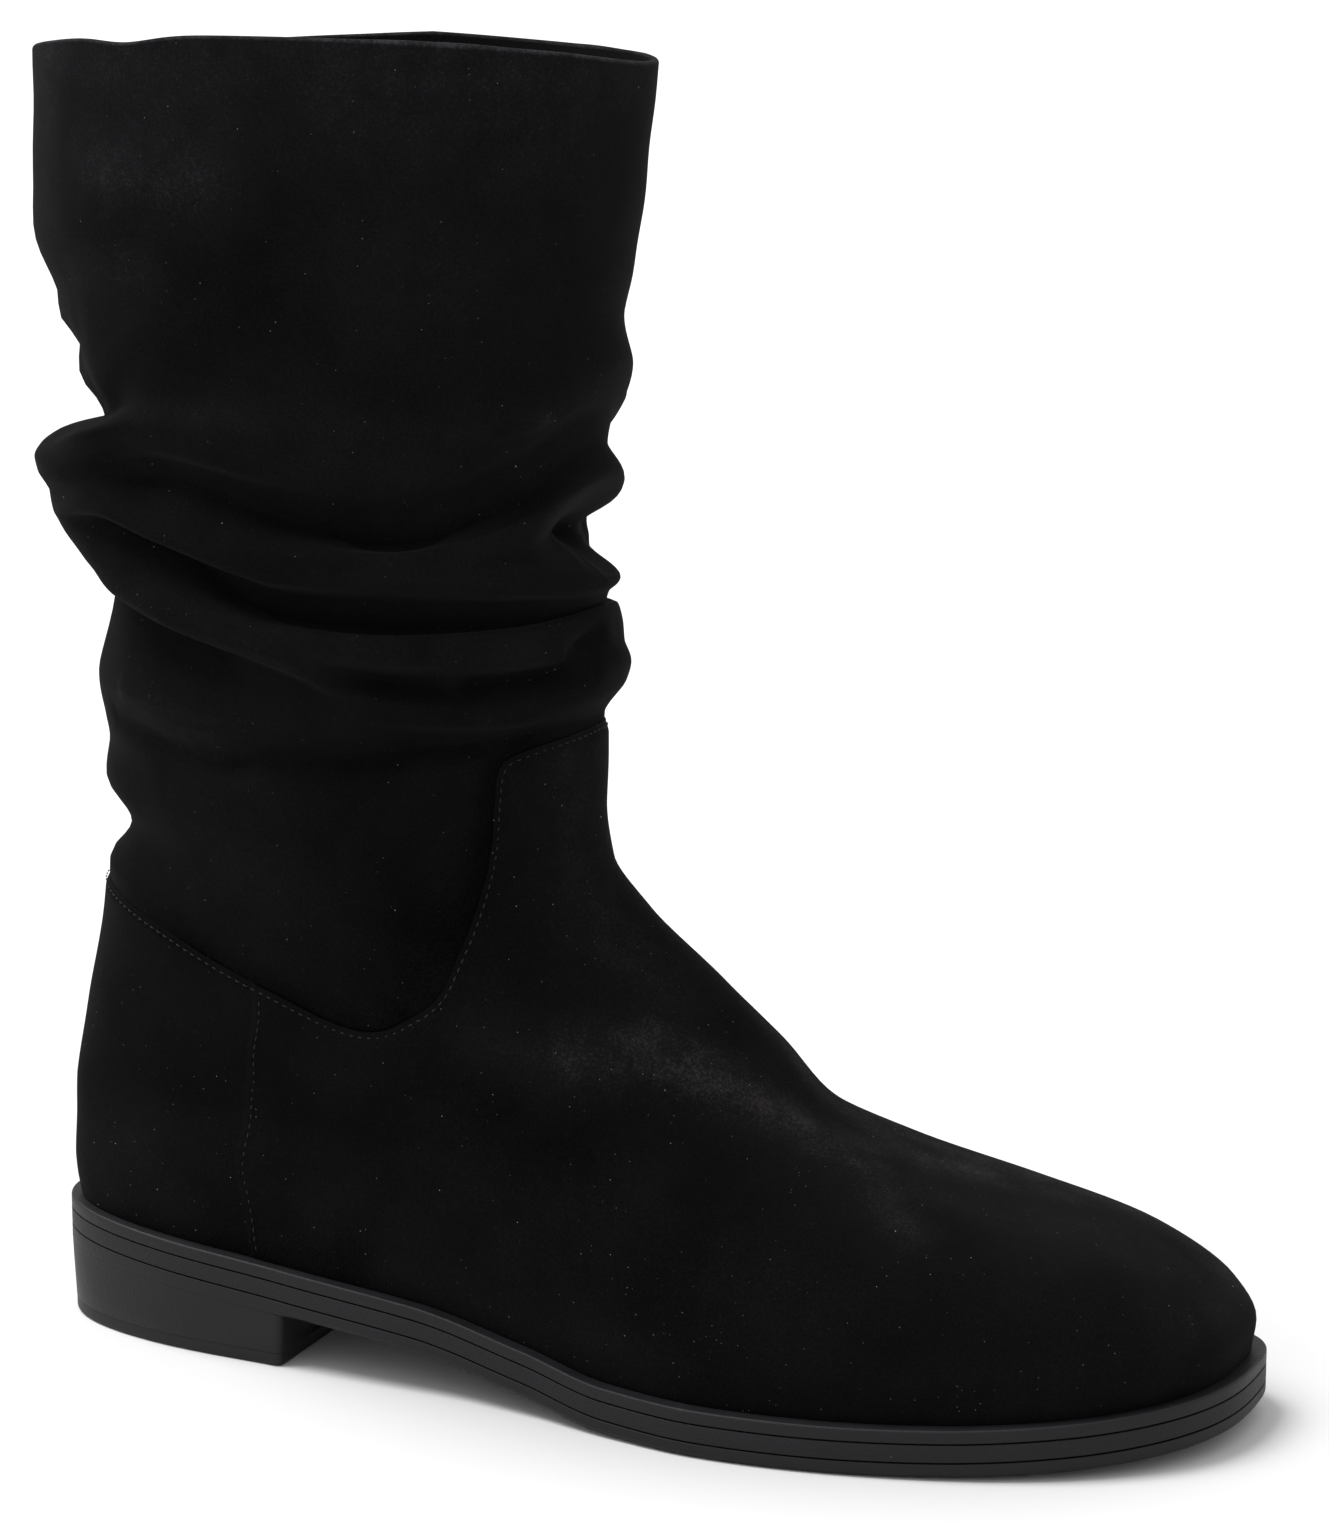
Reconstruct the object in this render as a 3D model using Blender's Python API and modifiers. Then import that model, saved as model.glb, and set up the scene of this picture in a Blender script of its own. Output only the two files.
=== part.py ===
"""Slouched mid-calf boot for the right foot: suede upper and shaft on a low layered rubber sole.

Sizes are in millimetres and become metres where a mesh is made. The boot is drawn with the back of
its heel at x = 0, the toe towards +X, the inner (medial) side towards +Y and the floor at z = 0, and
is then shifted so that the origin lies at the middle of the heel's flat on the floor.
"""

import bmesh
import bpy
import numpy as np

MM = 0.001

# Driving sizes
SOLE_LENGTH = 255.0
HEEL_LENGTH = 61.5
HEEL_CENTRE = 31.0
TOE_SWING = 12.0
SWING_START = 0.25
BLUNTNESS = 0.75
GAP = 0.3

# Heel block: how far its top and bottom edges stand in from the sole's edge
BLOCK_TOP_INSET = 0.2
BLOCK_BOTTOM_INSET = 0.7

# Suede walls
UPPER_WALL = 1.6
SHAFT_WALL = 1.5
TUCK_GAP = 0.7
TUCK_LEAN = 0.09
TUCK_RISE = 15.0
COUNTER_STEP = 0.8

# Mesh fineness
SOLE_POINTS = 64
UPPER_COLUMNS = 64
UPPER_ROWS = 12
FOOT_SLICES = 7
SHAFT_COLUMNS = 54
EDGE_SAMPLES = 240
TURN_NUDGE = 0.02
LEVEL_NUDGE = 0.5
SHARP_ANGLE = np.radians(45.0)

# Finishes: colour and roughness
RUBBER = ((0.030, 0.030, 0.032), 0.55)
SUEDE = ((0.006, 0.006, 0.006), 0.95)
SOCK = ((0.020, 0.020, 0.020), 0.80)


def table(columns, *rows):
    """A short table as named columns of numbers."""
    return dict(zip(columns.split(), np.array(rows, dtype=float).T))


# Sole: half breadths of the outline and height of the tread, by share of the length
SOLE = table(
    "share lateral medial tread",
    (0.00, 41.0, 41.0, 16.0),
    (0.12, 38.0, 38.0, 13.8),
    (0.24, 35.2, 34.5, 11.3),
    (0.36, 36.0, 25.5, 8.5),
    (0.46, 40.8, 26.0, 4.0),
    (0.54, 47.8, 29.0, 0.5),
    (0.62, 54.5, 33.0, 0.0),
    (0.70, 58.3, 37.5, 0.0),
    (0.80, 61.3, 39.7, 0.4),
    (0.90, 63.5, 40.0, 1.7),
    (1.00, 64.5, 40.0, 4.0),
)

# Edges of the sole layers from top to bottom: inset from the sole's outline and height in the layer
LIFT_EDGE = table("inset height", (0.7, 2.8), (0.7, 1.0), (1.0, 0.3), (1.7, 0.0))
OUTSOLE_EDGE = table("inset height", (0.0, 3.0), (0.0, 1.3), (0.5, 0.4), (1.6, 0.0))
MIDSOLE_EDGE = table("inset height", (0.0, 3.5), (0.0, 0.0))
WELT_EDGE = table("inset height", (0.8, 2.6), (0.0, 1.8), (0.0, 0.0))
INSOLE_EDGE = table("inset height", (6.2, 2.2), (6.2, 0.0))

# Boot form: each row is a level slice with its back and front points, the share of the sole's
# breadth that it keeps, the oval half breadth added to that, and its share of the sole's dip
SLICES = table(
    "level back_x front_z front_x foot oval dip",
    (26.0, 1.2, 13.7, 252.0, 1.00, -3.0, 1.00),
    (31.0, 0.4, 19.5, 252.8, 1.00, -2.2, 0.85),
    (38.0, 0.0, 27.0, 248.5, 1.00, -2.5, 0.60),
    (46.0, 0.2, 35.0, 235.5, 0.97, -2.5, 0.35),
    (54.0, 1.0, 41.0, 214.5, 0.92, -2.5, 0.15),
    (62.0, 2.6, 48.0, 188.0, 0.82, 1.0, 0.05),
    (70.0, 4.4, 57.0, 165.5, 0.66, 7.5, 0.00),
    (78.0, 6.2, 68.0, 155.5, 0.48, 15.0, 0.00),
    (86.0, 7.6, 80.0, 143.0, 0.30, 22.0, 0.00),
    (94.0, 9.0, 93.0, 127.3, 0.14, 29.0, 0.00),
    (102.0, 10.3, 104.0, 118.8, 0.04, 34.0, 0.00),
    (112.0, 11.5, 115.0, 117.5, 0.00, 36.5, 0.00),
    (130.0, 10.5, 131.0, 118.0, 0.00, 38.0, 0.00),
    (150.0, 10.5, 150.0, 118.0, 0.00, 39.5, 0.00),
    (175.0, 6.0, 175.0, 118.5, 0.00, 41.5, 0.00),
    (205.0, 3.0, 205.0, 120.5, 0.00, 44.0, 0.00),
    (235.0, -1.6, 235.0, 124.6, 0.00, 45.0, 0.00),
    (272.0, -0.6, 272.0, 128.2, 0.00, 45.5, 0.00),
)

# Top edge of the upper: turn at the sole, turn at the edge and level there, from back to front
THROAT = table(
    "sole_turn edge_turn level",
    (0.0, 0.0, 97.0),
    (12.0, 16.0, 96.6),
    (24.0, 32.0, 94.8),
    (38.0, 50.0, 91.4),
    (55.0, 73.5, 83.5),
    (70.0, 89.0, 79.0),
    (84.0, 101.0, 83.0),
    (98.0, 113.0, 89.2),
    (113.0, 125.0, 95.2),
    (129.0, 135.0, 102.0),
    (143.0, 140.2, 109.5),
    (154.0, 141.6, 116.5),
    (162.0, 142.8, 123.0),
    (168.0, 145.5, 127.8),
    (172.0, 153.0, 129.9),
    (176.0, 166.0, 131.3),
    (180.0, 180.0, 132.0),
)
COUNTER_TURN = 55.0

# Shaft: each row is a line round it, from the tucked hem up to the collar, mostly the crest or the
# trough of a fold. z0 to z180 are its heights at the back, at 60 and 120 degrees round the side and at
# the front; out0 to out180 say how far it stands out of the boot's form there
SHAFT_LINES = table(
    "z0 z60 z120 z180 out0 out60 out120 out180",
    (82.0, 70.0, 72.0, 112.0, 0.0, 0.0, 0.0, 0.0),
    (97.0, 90.0, 88.0, 119.0, -1.0, 0.0, 0.0, 0.0),
    (108.0, 103.0, 99.0, 124.0, -5.0, -2.5, 0.0, 0.0),
    (118.0, 113.0, 110.0, 128.0, 0.5, 0.5, 0.5, 0.0),
    (126.0, 123.0, 118.0, 130.0, -2.0, -1.5, -0.5, 0.0),
    (137.0, 132.0, 126.0, 132.0, 0.5, 0.5, 1.5, 0.0),
    (153.0, 146.0, 132.5, 133.5, -4.0, -4.5, -4.0, 0.0),
    (159.0, 153.5, 140.0, 140.5, -5.0, 3.5, 3.5, 7.5),
    (163.0, 156.5, 147.0, 150.5, -2.0, 4.5, -3.0, 2.5),
    (166.5, 160.5, 154.0, 159.5, 2.5, 5.0, 5.0, 3.0),
    (170.5, 169.0, 160.5, 173.0, 5.0, -3.5, -6.5, -10.0),
    (175.0, 176.5, 169.0, 183.0, 6.0, 3.5, 4.0, 3.5),
    (181.0, 184.0, 174.5, 191.5, 8.0, -1.5, -5.0, -1.0),
    (186.0, 192.0, 185.0, 203.0, 6.0, 3.0, 3.0, 4.0),
    (191.5, 203.0, 203.0, 216.0, -10.5, -2.5, 0.0, -2.0),
    (203.0, 213.0, 215.0, 226.0, -5.0, 0.0, 0.5, 0.3),
    (217.0, 223.0, 226.0, 236.0, -1.5, -1.0, 0.0, 0.5),
    (229.0, 236.0, 240.0, 246.0, 0.5, 0.0, 0.0, 0.5),
    (248.0, 252.0, 254.0, 256.0, 0.0, 0.0, 0.0, 0.7),
    (265.0, 265.5, 266.0, 264.0, 0.0, 0.0, 0.0, 1.0),
)
LINE_TURNS = np.radians([0.0, 60.0, 120.0, 180.0])
FINE_LINES = (0, 1, 6, 7, 8, 9, 10, 11, 12, 13, 14, 15, 16)
MEDIAL_DROP = 4.0
MEDIAL_SHARE = 0.8
COLLAR_RISE = 5.0
COLLAR_RISE_FROM = 215.0


def smooth(knots, values, at):
    """Monotone cubic curve through the rows of a table, or through rows of curves."""
    spread = (-1,) + (1,) * (values.ndim - 1)
    step = np.diff(knots).reshape(spread)
    slope = np.diff(values, axis=0) / step
    same_way = slope[:-1] * slope[1:] > 0
    before = np.where(same_way, slope[:-1], 1.0)
    after = np.where(same_way, slope[1:], 1.0)
    weight_before = 2 * step[1:] + step[:-1]
    weight_after = step[1:] + 2 * step[:-1]
    mean = (weight_before + weight_after) / (weight_before / before + weight_after / after)
    tangent = np.concatenate([slope[:1], np.where(same_way, mean, 0.0), slope[-1:]])
    at = np.clip(at, knots[0], knots[-1])
    row = np.clip(np.searchsorted(knots, at, side="right") - 1, 0, len(step) - 1)
    reach = np.diff(knots)[row].reshape(row.shape + spread[1:])
    q = (at - knots[row]).reshape(row.shape + spread[1:]) / reach
    blend = values[row] + (values[row + 1] - values[row]) * q * q * (3 - 2 * q)
    start = q * (1 - q) ** 2 * reach * tangent[row]
    end = q * q * (q - 1) * reach * tangent[row + 1]
    return blend + start + end


def ease(value):
    """Smooth step from 0 to 1."""
    q = np.clip(value, 0.0, 1.0)
    return q * q * (3 - 2 * q)


def swing(x):
    """Sideways bend of the middle line towards the inner side at the toe."""
    return TOE_SWING * ease((x / SOLE_LENGTH - SWING_START) / (1 - SWING_START))


def tread(x):
    """Height of the outsole's underside above the floor."""
    return smooth(SOLE["share"], SOLE["tread"], x / SOLE_LENGTH)


def sole_breadth(x, turn):
    """Signed half breadth of the sole's station: lateral for the first half turn, then medial."""
    lateral = smooth(SOLE["share"], SOLE["lateral"], x / SOLE_LENGTH)
    medial = smooth(SOLE["share"], SOLE["medial"], x / SOLE_LENGTH)
    return np.where(np.sin(turn) > 0, -lateral, medial)


def sole_edge(turn, inset=0.0):
    """Plan of the sole's edge, moved inwards by an inset: turn 0 is the heel, half a turn the toe."""

    def edge(angle):
        x = SOLE_LENGTH * (1 - np.cos(angle)) / 2
        y = swing(x) + sole_breadth(x, angle) * np.abs(np.sin(angle)) ** BLUNTNESS
        return np.stack([x, y], axis=-1)

    along = edge(turn + TURN_NUDGE) - edge(turn - TURN_NUDGE)
    along /= np.linalg.norm(along, axis=-1, keepdims=True)
    outward = np.stack([along[..., 1], -along[..., 0]], axis=-1)
    return edge(turn) - outward * inset


def boot_form(turn, level):
    """Outer surface of foot and leg without folds: turn goes round, level goes up the slices."""
    row = {name: smooth(SLICES["level"], SLICES[name], level) for name in SLICES if name != "level"}
    share = (1 - np.cos(turn)) / 2
    x = row["back_x"] + (row["front_x"] - row["back_x"]) * share
    side = np.where(np.sin(turn) > 0, -1.0, 1.0)
    half = row["foot"] * sole_breadth(x, turn) + row["oval"] * side
    blunt = 1 - (1 - BLUNTNESS) * row["foot"]
    y = swing(x) + half * np.abs(np.sin(turn)) ** blunt
    heel_end = tread(row["back_x"])
    toe_end = tread(row["front_x"])
    dip = tread(x) - heel_end - (toe_end - heel_end) * share
    z = level + (row["front_z"] - level) * share + row["dip"] * dip
    return np.stack([x, y, z], axis=-1)


def outward(turn, level):
    """Unit normals of the boot's form."""
    around = boot_form(turn + TURN_NUDGE, level) - boot_form(turn - TURN_NUDGE, level)
    upward = boot_form(turn, level + LEVEL_NUDGE) - boot_form(turn, level - LEVEL_NUDGE)
    normal = np.cross(around, upward)
    return normal / np.linalg.norm(normal, axis=-1, keepdims=True)


def half_turn(turn):
    """Turn measured from the back either way round, from 0 to half a turn."""
    return np.abs((turn + np.pi) % (2 * np.pi) - np.pi)


def throat_columns(count):
    """Turn at the sole, turn at the edge and level of the edge for columns round the upper."""
    row = np.arange(len(THROAT["level"]), dtype=float)
    place = np.linspace(0.0, row[-1], count // 2 + 1)
    half = smooth(row, THROAT["sole_turn"], place)
    edge = smooth(row, THROAT["edge_turn"], place)
    level = smooth(row, THROAT["level"], place)
    sole_turn = np.radians(np.concatenate([half, 360.0 - half[-2:0:-1]]))
    edge_turn = np.radians(np.concatenate([edge, 360.0 - edge[-2:0:-1]]))
    return sole_turn, edge_turn, np.concatenate([level, level[-2:0:-1]])


def upper_surface():
    """Grid of the upper's outside, from the feather line up to the throat edge."""
    sole_turn, edge_turn, edge_level = throat_columns(UPPER_COLUMNS)
    foot = SLICES["level"][:FOOT_SLICES]
    climb = np.linspace(0.0, 1.0, UPPER_ROWS - FOOT_SLICES + 1)[1:, None]
    above = foot[-1] + (edge_level - foot[-1]) * climb
    level = np.vstack([np.repeat(foot[:, None], UPPER_COLUMNS, axis=1), above])
    lean = ((level - foot[0]) / (edge_level - foot[0])) ** 2
    turn = sole_turn + (edge_turn - sole_turn) * lean
    step = np.where(half_turn(sole_turn) < np.radians(COUNTER_TURN), COUNTER_STEP, 0.0)
    return boot_form(turn, level) - outward(turn, level) * step[:, None]


def shaft_lines(turn, place):
    """Level and stand-out of the shaft at places between its lines, for turns round it."""
    share = (1 - np.cos(half_turn(turn))) / 2
    knots = (1 - np.cos(LINE_TURNS)) / 2
    columns = np.stack(list(SHAFT_LINES.values()))
    medial = np.clip(-np.sin(turn), 0.0, 1.0)
    lateral = np.clip(np.sin(turn), 0.0, 1.0)
    line = np.arange(columns.shape[1], dtype=float)
    level = smooth(line, smooth(knots, columns[:4], share).T, place)
    out = smooth(line, smooth(knots, columns[4:], share).T, place)
    level -= MEDIAL_DROP * medial * np.sin(np.pi * place / line[-1])[:, None]
    rising = ease((level - COLLAR_RISE_FROM) / (level.max() - COLLAR_RISE_FROM))
    level += COLLAR_RISE * lateral ** 2 * rising
    return level, out * (1 - (1 - MEDIAL_SHARE) * medial)


def beside_edge(turn, level):
    """How far a place on the boot's form lies above the upper's edge; below it, less than nothing."""
    _, edge_turn, edge_level = throat_columns(EDGE_SAMPLES)
    edge = boot_form(edge_turn, edge_level)
    apart = np.linalg.norm(boot_form(turn, level)[..., None, :] - edge, axis=-1).min(axis=-1)
    edge_here = smooth(THROAT["edge_turn"], THROAT["level"], np.degrees(half_turn(turn)))
    return np.where(level > edge_here, apart, -apart)


def shaft_surface():
    """Grid of the shaft's outside, from its tucked hem up to the collar."""
    turn = np.linspace(0.0, 2 * np.pi, SHAFT_COLUMNS, endpoint=False)
    line = np.arange(len(SHAFT_LINES["z0"]), dtype=float)
    between = np.array(FINE_LINES) + 0.5
    level, out = shaft_lines(turn, np.sort(np.concatenate([line, between])))
    turn = np.broadcast_to(turn, level.shape)
    above = beside_edge(turn, level)
    free = ease(above / TUCK_RISE)
    tuck = UPPER_WALL + COUNTER_STEP + TUCK_GAP + TUCK_LEAN * np.clip(-above, 0.0, None)
    push = out * free - tuck * (1 - free)
    return boot_form(turn, level) + outward(turn, level) * push[..., None]


def new_object(name, points, faces, finish, collection):
    """Mesh object with its own material, its points given in millimetres in the drawing's frame."""
    flat = np.asarray(points, dtype=float).reshape(-1, 3) - (HEEL_CENTRE, 0.0, 0.0)
    mesh = bpy.data.meshes.new(name)
    mesh.from_pydata((flat * MM).tolist(), [], faces)
    shape = bmesh.new()
    shape.from_mesh(mesh)
    bmesh.ops.recalc_face_normals(shape, faces=shape.faces)
    shape.to_mesh(mesh)
    shape.free()
    mesh.shade_smooth()
    mesh.set_sharp_from_angle(angle=SHARP_ANGLE)
    material = bpy.data.materials.new(name)
    material.use_nodes = True
    surface = material.node_tree.nodes["Principled BSDF"]
    colour, roughness = finish
    surface.inputs["Base Color"].default_value = (*colour, 1.0)
    surface.inputs["Roughness"].default_value = roughness
    mesh.materials.append(material)
    made = bpy.data.objects.new(name, mesh)
    collection.objects.link(made)
    return made


def wall_object(name, grid, thickness, finish, collection):
    """Hollow wall: a closed band of quads, thickened inwards."""
    rows, columns = grid.shape[:2]
    faces = []
    for row in range(rows - 1):
        for column in range(columns):
            after = (column + 1) % columns
            low, high = row * columns, (row + 1) * columns
            faces.append((low + column, low + after, high + after, high + column))
    made = new_object(name, grid, faces, finish, collection)
    wall = made.modifiers.new("wall", "SOLIDIFY")
    wall.thickness = thickness * MM
    wall.offset = -1.0
    wall.use_even_offset = True
    return made


def plate_object(name, loops, finish, collection):
    """Closed plate from edge loops, top to bottom; rungs across join the loops' two sides."""
    count = len(loops[0])
    half = count // 2
    faces = []
    for row in range(len(loops) - 1):
        for column in range(count):
            after = (column + 1) % count
            high, low = row * count, (row + 1) * count
            faces.append((high + column, low + column, low + after, high + after))
    for first in (0, (len(loops) - 1) * count):
        for rung in range(half):
            corners = [rung, rung + 1, (count - rung - 1) % count, (count - rung) % count]
            faces.append([first + corner for corner in dict.fromkeys(corners)])
    return new_object(name, np.concatenate(loops), faces, finish, collection)


def edge_rows(edge):
    """Pairs of inset and height from a layer's edge table."""
    return zip(edge["inset"], edge["height"])


def layer_loops(edge, base):
    """Edge loops of a sole layer that lies a base height above the tread."""
    turn = np.linspace(0.0, 2 * np.pi, SOLE_POINTS, endpoint=False)
    loops = []
    for inset, height in edge_rows(edge):
        plan = sole_edge(turn, inset)
        loops.append(np.column_stack([plan, tread(plan[:, 0]) + base + height]))
    return loops


def heel_loop(inset, height, under_sole=False):
    """Edge loop of a heel layer, straight across at the breast, at a height above the floor."""
    breast = HEEL_LENGTH - inset
    last = np.arccos(1 - 2 * breast / SOLE_LENGTH)
    steps = SOLE_POINTS // 4
    turn = last * np.arange(-steps, steps + 1) / steps
    plan = sole_edge(np.roll(turn, -steps), inset)
    plan[:, 0] = np.minimum(plan[:, 0], breast)
    z = tread(plan[:, 0]) - GAP if under_sole else np.full(len(plan), height)
    return np.column_stack([plan, z])


def build():
    """Make every piece of the boot."""
    for old in list(bpy.data.objects):
        bpy.data.objects.remove(old, do_unlink=True)
    boot = bpy.data.collections.new("slouched_boot")
    bpy.context.scene.collection.children.link(boot)

    lift = [heel_loop(*row) for row in edge_rows(LIFT_EDGE)]
    plate_object("heel_lift", lift, RUBBER, boot)
    lift_top = LIFT_EDGE["height"][0]
    block = [
        heel_loop(BLOCK_TOP_INSET, 0.0, under_sole=True),
        heel_loop(BLOCK_BOTTOM_INSET, lift_top + GAP),
    ]
    plate_object("heel_block", block, RUBBER, boot)

    base = 0.0
    layers = (
        ("outsole", OUTSOLE_EDGE, RUBBER),
        ("midsole", MIDSOLE_EDGE, RUBBER),
        ("welt", WELT_EDGE, RUBBER),
        ("insole", INSOLE_EDGE, SOCK),
    )
    for name, edge, finish in layers:
        plate_object(name, layer_loops(edge, base), finish, boot)
        base += edge["height"][0] + GAP

    wall_object("upper", upper_surface(), UPPER_WALL, SUEDE, boot)
    wall_object("shaft", shaft_surface(), SHAFT_WALL, SUEDE, boot)


build()
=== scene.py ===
"""Looks of a slouched mid-calf suede boot for the right foot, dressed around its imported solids.

Sizes are millimetres in the boot's own drawing: x runs from the back of the heel to the toe, y towards
the inner side of the foot and z up from the floor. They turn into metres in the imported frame, whose
origin is the middle of the heel's flat, only when a mesh is made.
"""

import logging
from dataclasses import dataclass
from enum import Enum

import bpy
import numpy as np
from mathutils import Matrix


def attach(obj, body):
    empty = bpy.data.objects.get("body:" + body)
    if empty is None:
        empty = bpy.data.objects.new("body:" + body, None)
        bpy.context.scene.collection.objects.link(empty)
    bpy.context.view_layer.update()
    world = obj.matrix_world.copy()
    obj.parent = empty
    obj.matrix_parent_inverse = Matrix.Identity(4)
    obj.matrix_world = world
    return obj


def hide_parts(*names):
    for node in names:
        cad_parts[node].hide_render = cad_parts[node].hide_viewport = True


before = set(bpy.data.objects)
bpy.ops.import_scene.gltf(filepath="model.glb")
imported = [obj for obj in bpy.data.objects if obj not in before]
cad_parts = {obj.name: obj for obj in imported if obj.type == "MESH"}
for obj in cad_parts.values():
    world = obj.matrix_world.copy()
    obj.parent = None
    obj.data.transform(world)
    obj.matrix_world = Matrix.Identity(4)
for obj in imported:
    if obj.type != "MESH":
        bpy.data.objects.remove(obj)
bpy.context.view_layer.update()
BODY = "root"
MM = 0.001
HEEL_CENTRE = 31.0
LOG = logging.getLogger("boot")

NAP_AND_SHADING_LAYER = "brushed"
FLOAT, VECTOR = "NodeSocketFloat", "NodeSocketVector"

Array = np.ndarray
Table = dict[str, np.ndarray]
Triple = tuple[float, float, float]
Node, Socket = bpy.types.Node, bpy.types.NodeSocket


class Slot(Enum):
    """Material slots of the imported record."""

    SUEDE = "suede"
    RUBBER = "rubber"
    SOCK = "sock"


class Side(Enum):
    """Sides of the foot, with the sign of y on each."""

    LATERAL = -1
    MEDIAL = 1


def table(columns: str, *rows: tuple[float, ...]) -> Table:
    """A short table as named columns of numbers."""
    return dict(zip(columns.split(), np.array(rows, dtype=float).T))


def smooth(knots: Array, values: Array, at: Array) -> Array:
    """Monotone cubic through table rows.

    Each stretch is a cubic between two rows whose end slopes are the weighted harmonic mean of the
    neighbouring slopes, or nought where those change sign, so that it never overshoots a row.

    Args:
        knots: rising positions of the rows.
        values: one value, or one curve of values, for each row.
        at: positions to read.

    Returns:
        The values at those positions.
    """
    spread = (-1,) + (1,) * (values.ndim - 1)
    step = np.diff(knots).reshape(spread)
    slope = np.diff(values, axis=0) / step
    same_way = slope[:-1] * slope[1:] > 0
    before = np.where(same_way, slope[:-1], 1.0)
    after = np.where(same_way, slope[1:], 1.0)
    weight_before = 2 * step[1:] + step[:-1]
    weight_after = step[1:] + 2 * step[:-1]
    mean = (weight_before + weight_after) / (weight_before / before + weight_after / after)
    tangent = np.concatenate([slope[:1], np.where(same_way, mean, 0.0), slope[-1:]])
    at = np.clip(at, knots[0], knots[-1])
    row = np.clip(np.searchsorted(knots, at, side="right") - 1, 0, len(step) - 1)
    reach = np.diff(knots)[row].reshape(row.shape + spread[1:])
    q = (at - knots[row]).reshape(row.shape + spread[1:]) / reach
    blend = values[row] + (values[row + 1] - values[row]) * q * q * (3 - 2 * q)
    start = q * (1 - q) ** 2 * reach * tangent[row]
    end = q * q * (q - 1) * reach * tangent[row + 1]
    return blend + start + end


def ease(value: Array) -> Array:
    """Smooth step: 0 below 0, 1 above 1 and 3q^2 - 2q^3 between."""
    q = np.clip(value, 0.0, 1.0)
    return q * q * (3 - 2 * q)


def half_turn(turn: Array) -> Array:
    """Turn measured from the back either way round, from 0 to half a turn."""
    return np.abs((turn + np.pi) % (2 * np.pi) - np.pi)


def unit(vectors: Array) -> Array:
    """Vectors divided by their lengths."""
    return vectors / np.maximum(np.linalg.norm(vectors, axis=-1, keepdims=True), 1e-9)


def grid_normals(grid: Array) -> Array:
    """Unit normals of a grid that closes round its columns.

    The normal is the cross product of the central differences round the ring and up the rows.
    """
    around = np.roll(grid, -1, axis=1) - np.roll(grid, 1, axis=1)
    return unit(np.cross(around, np.gradient(grid, axis=0)))


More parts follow.
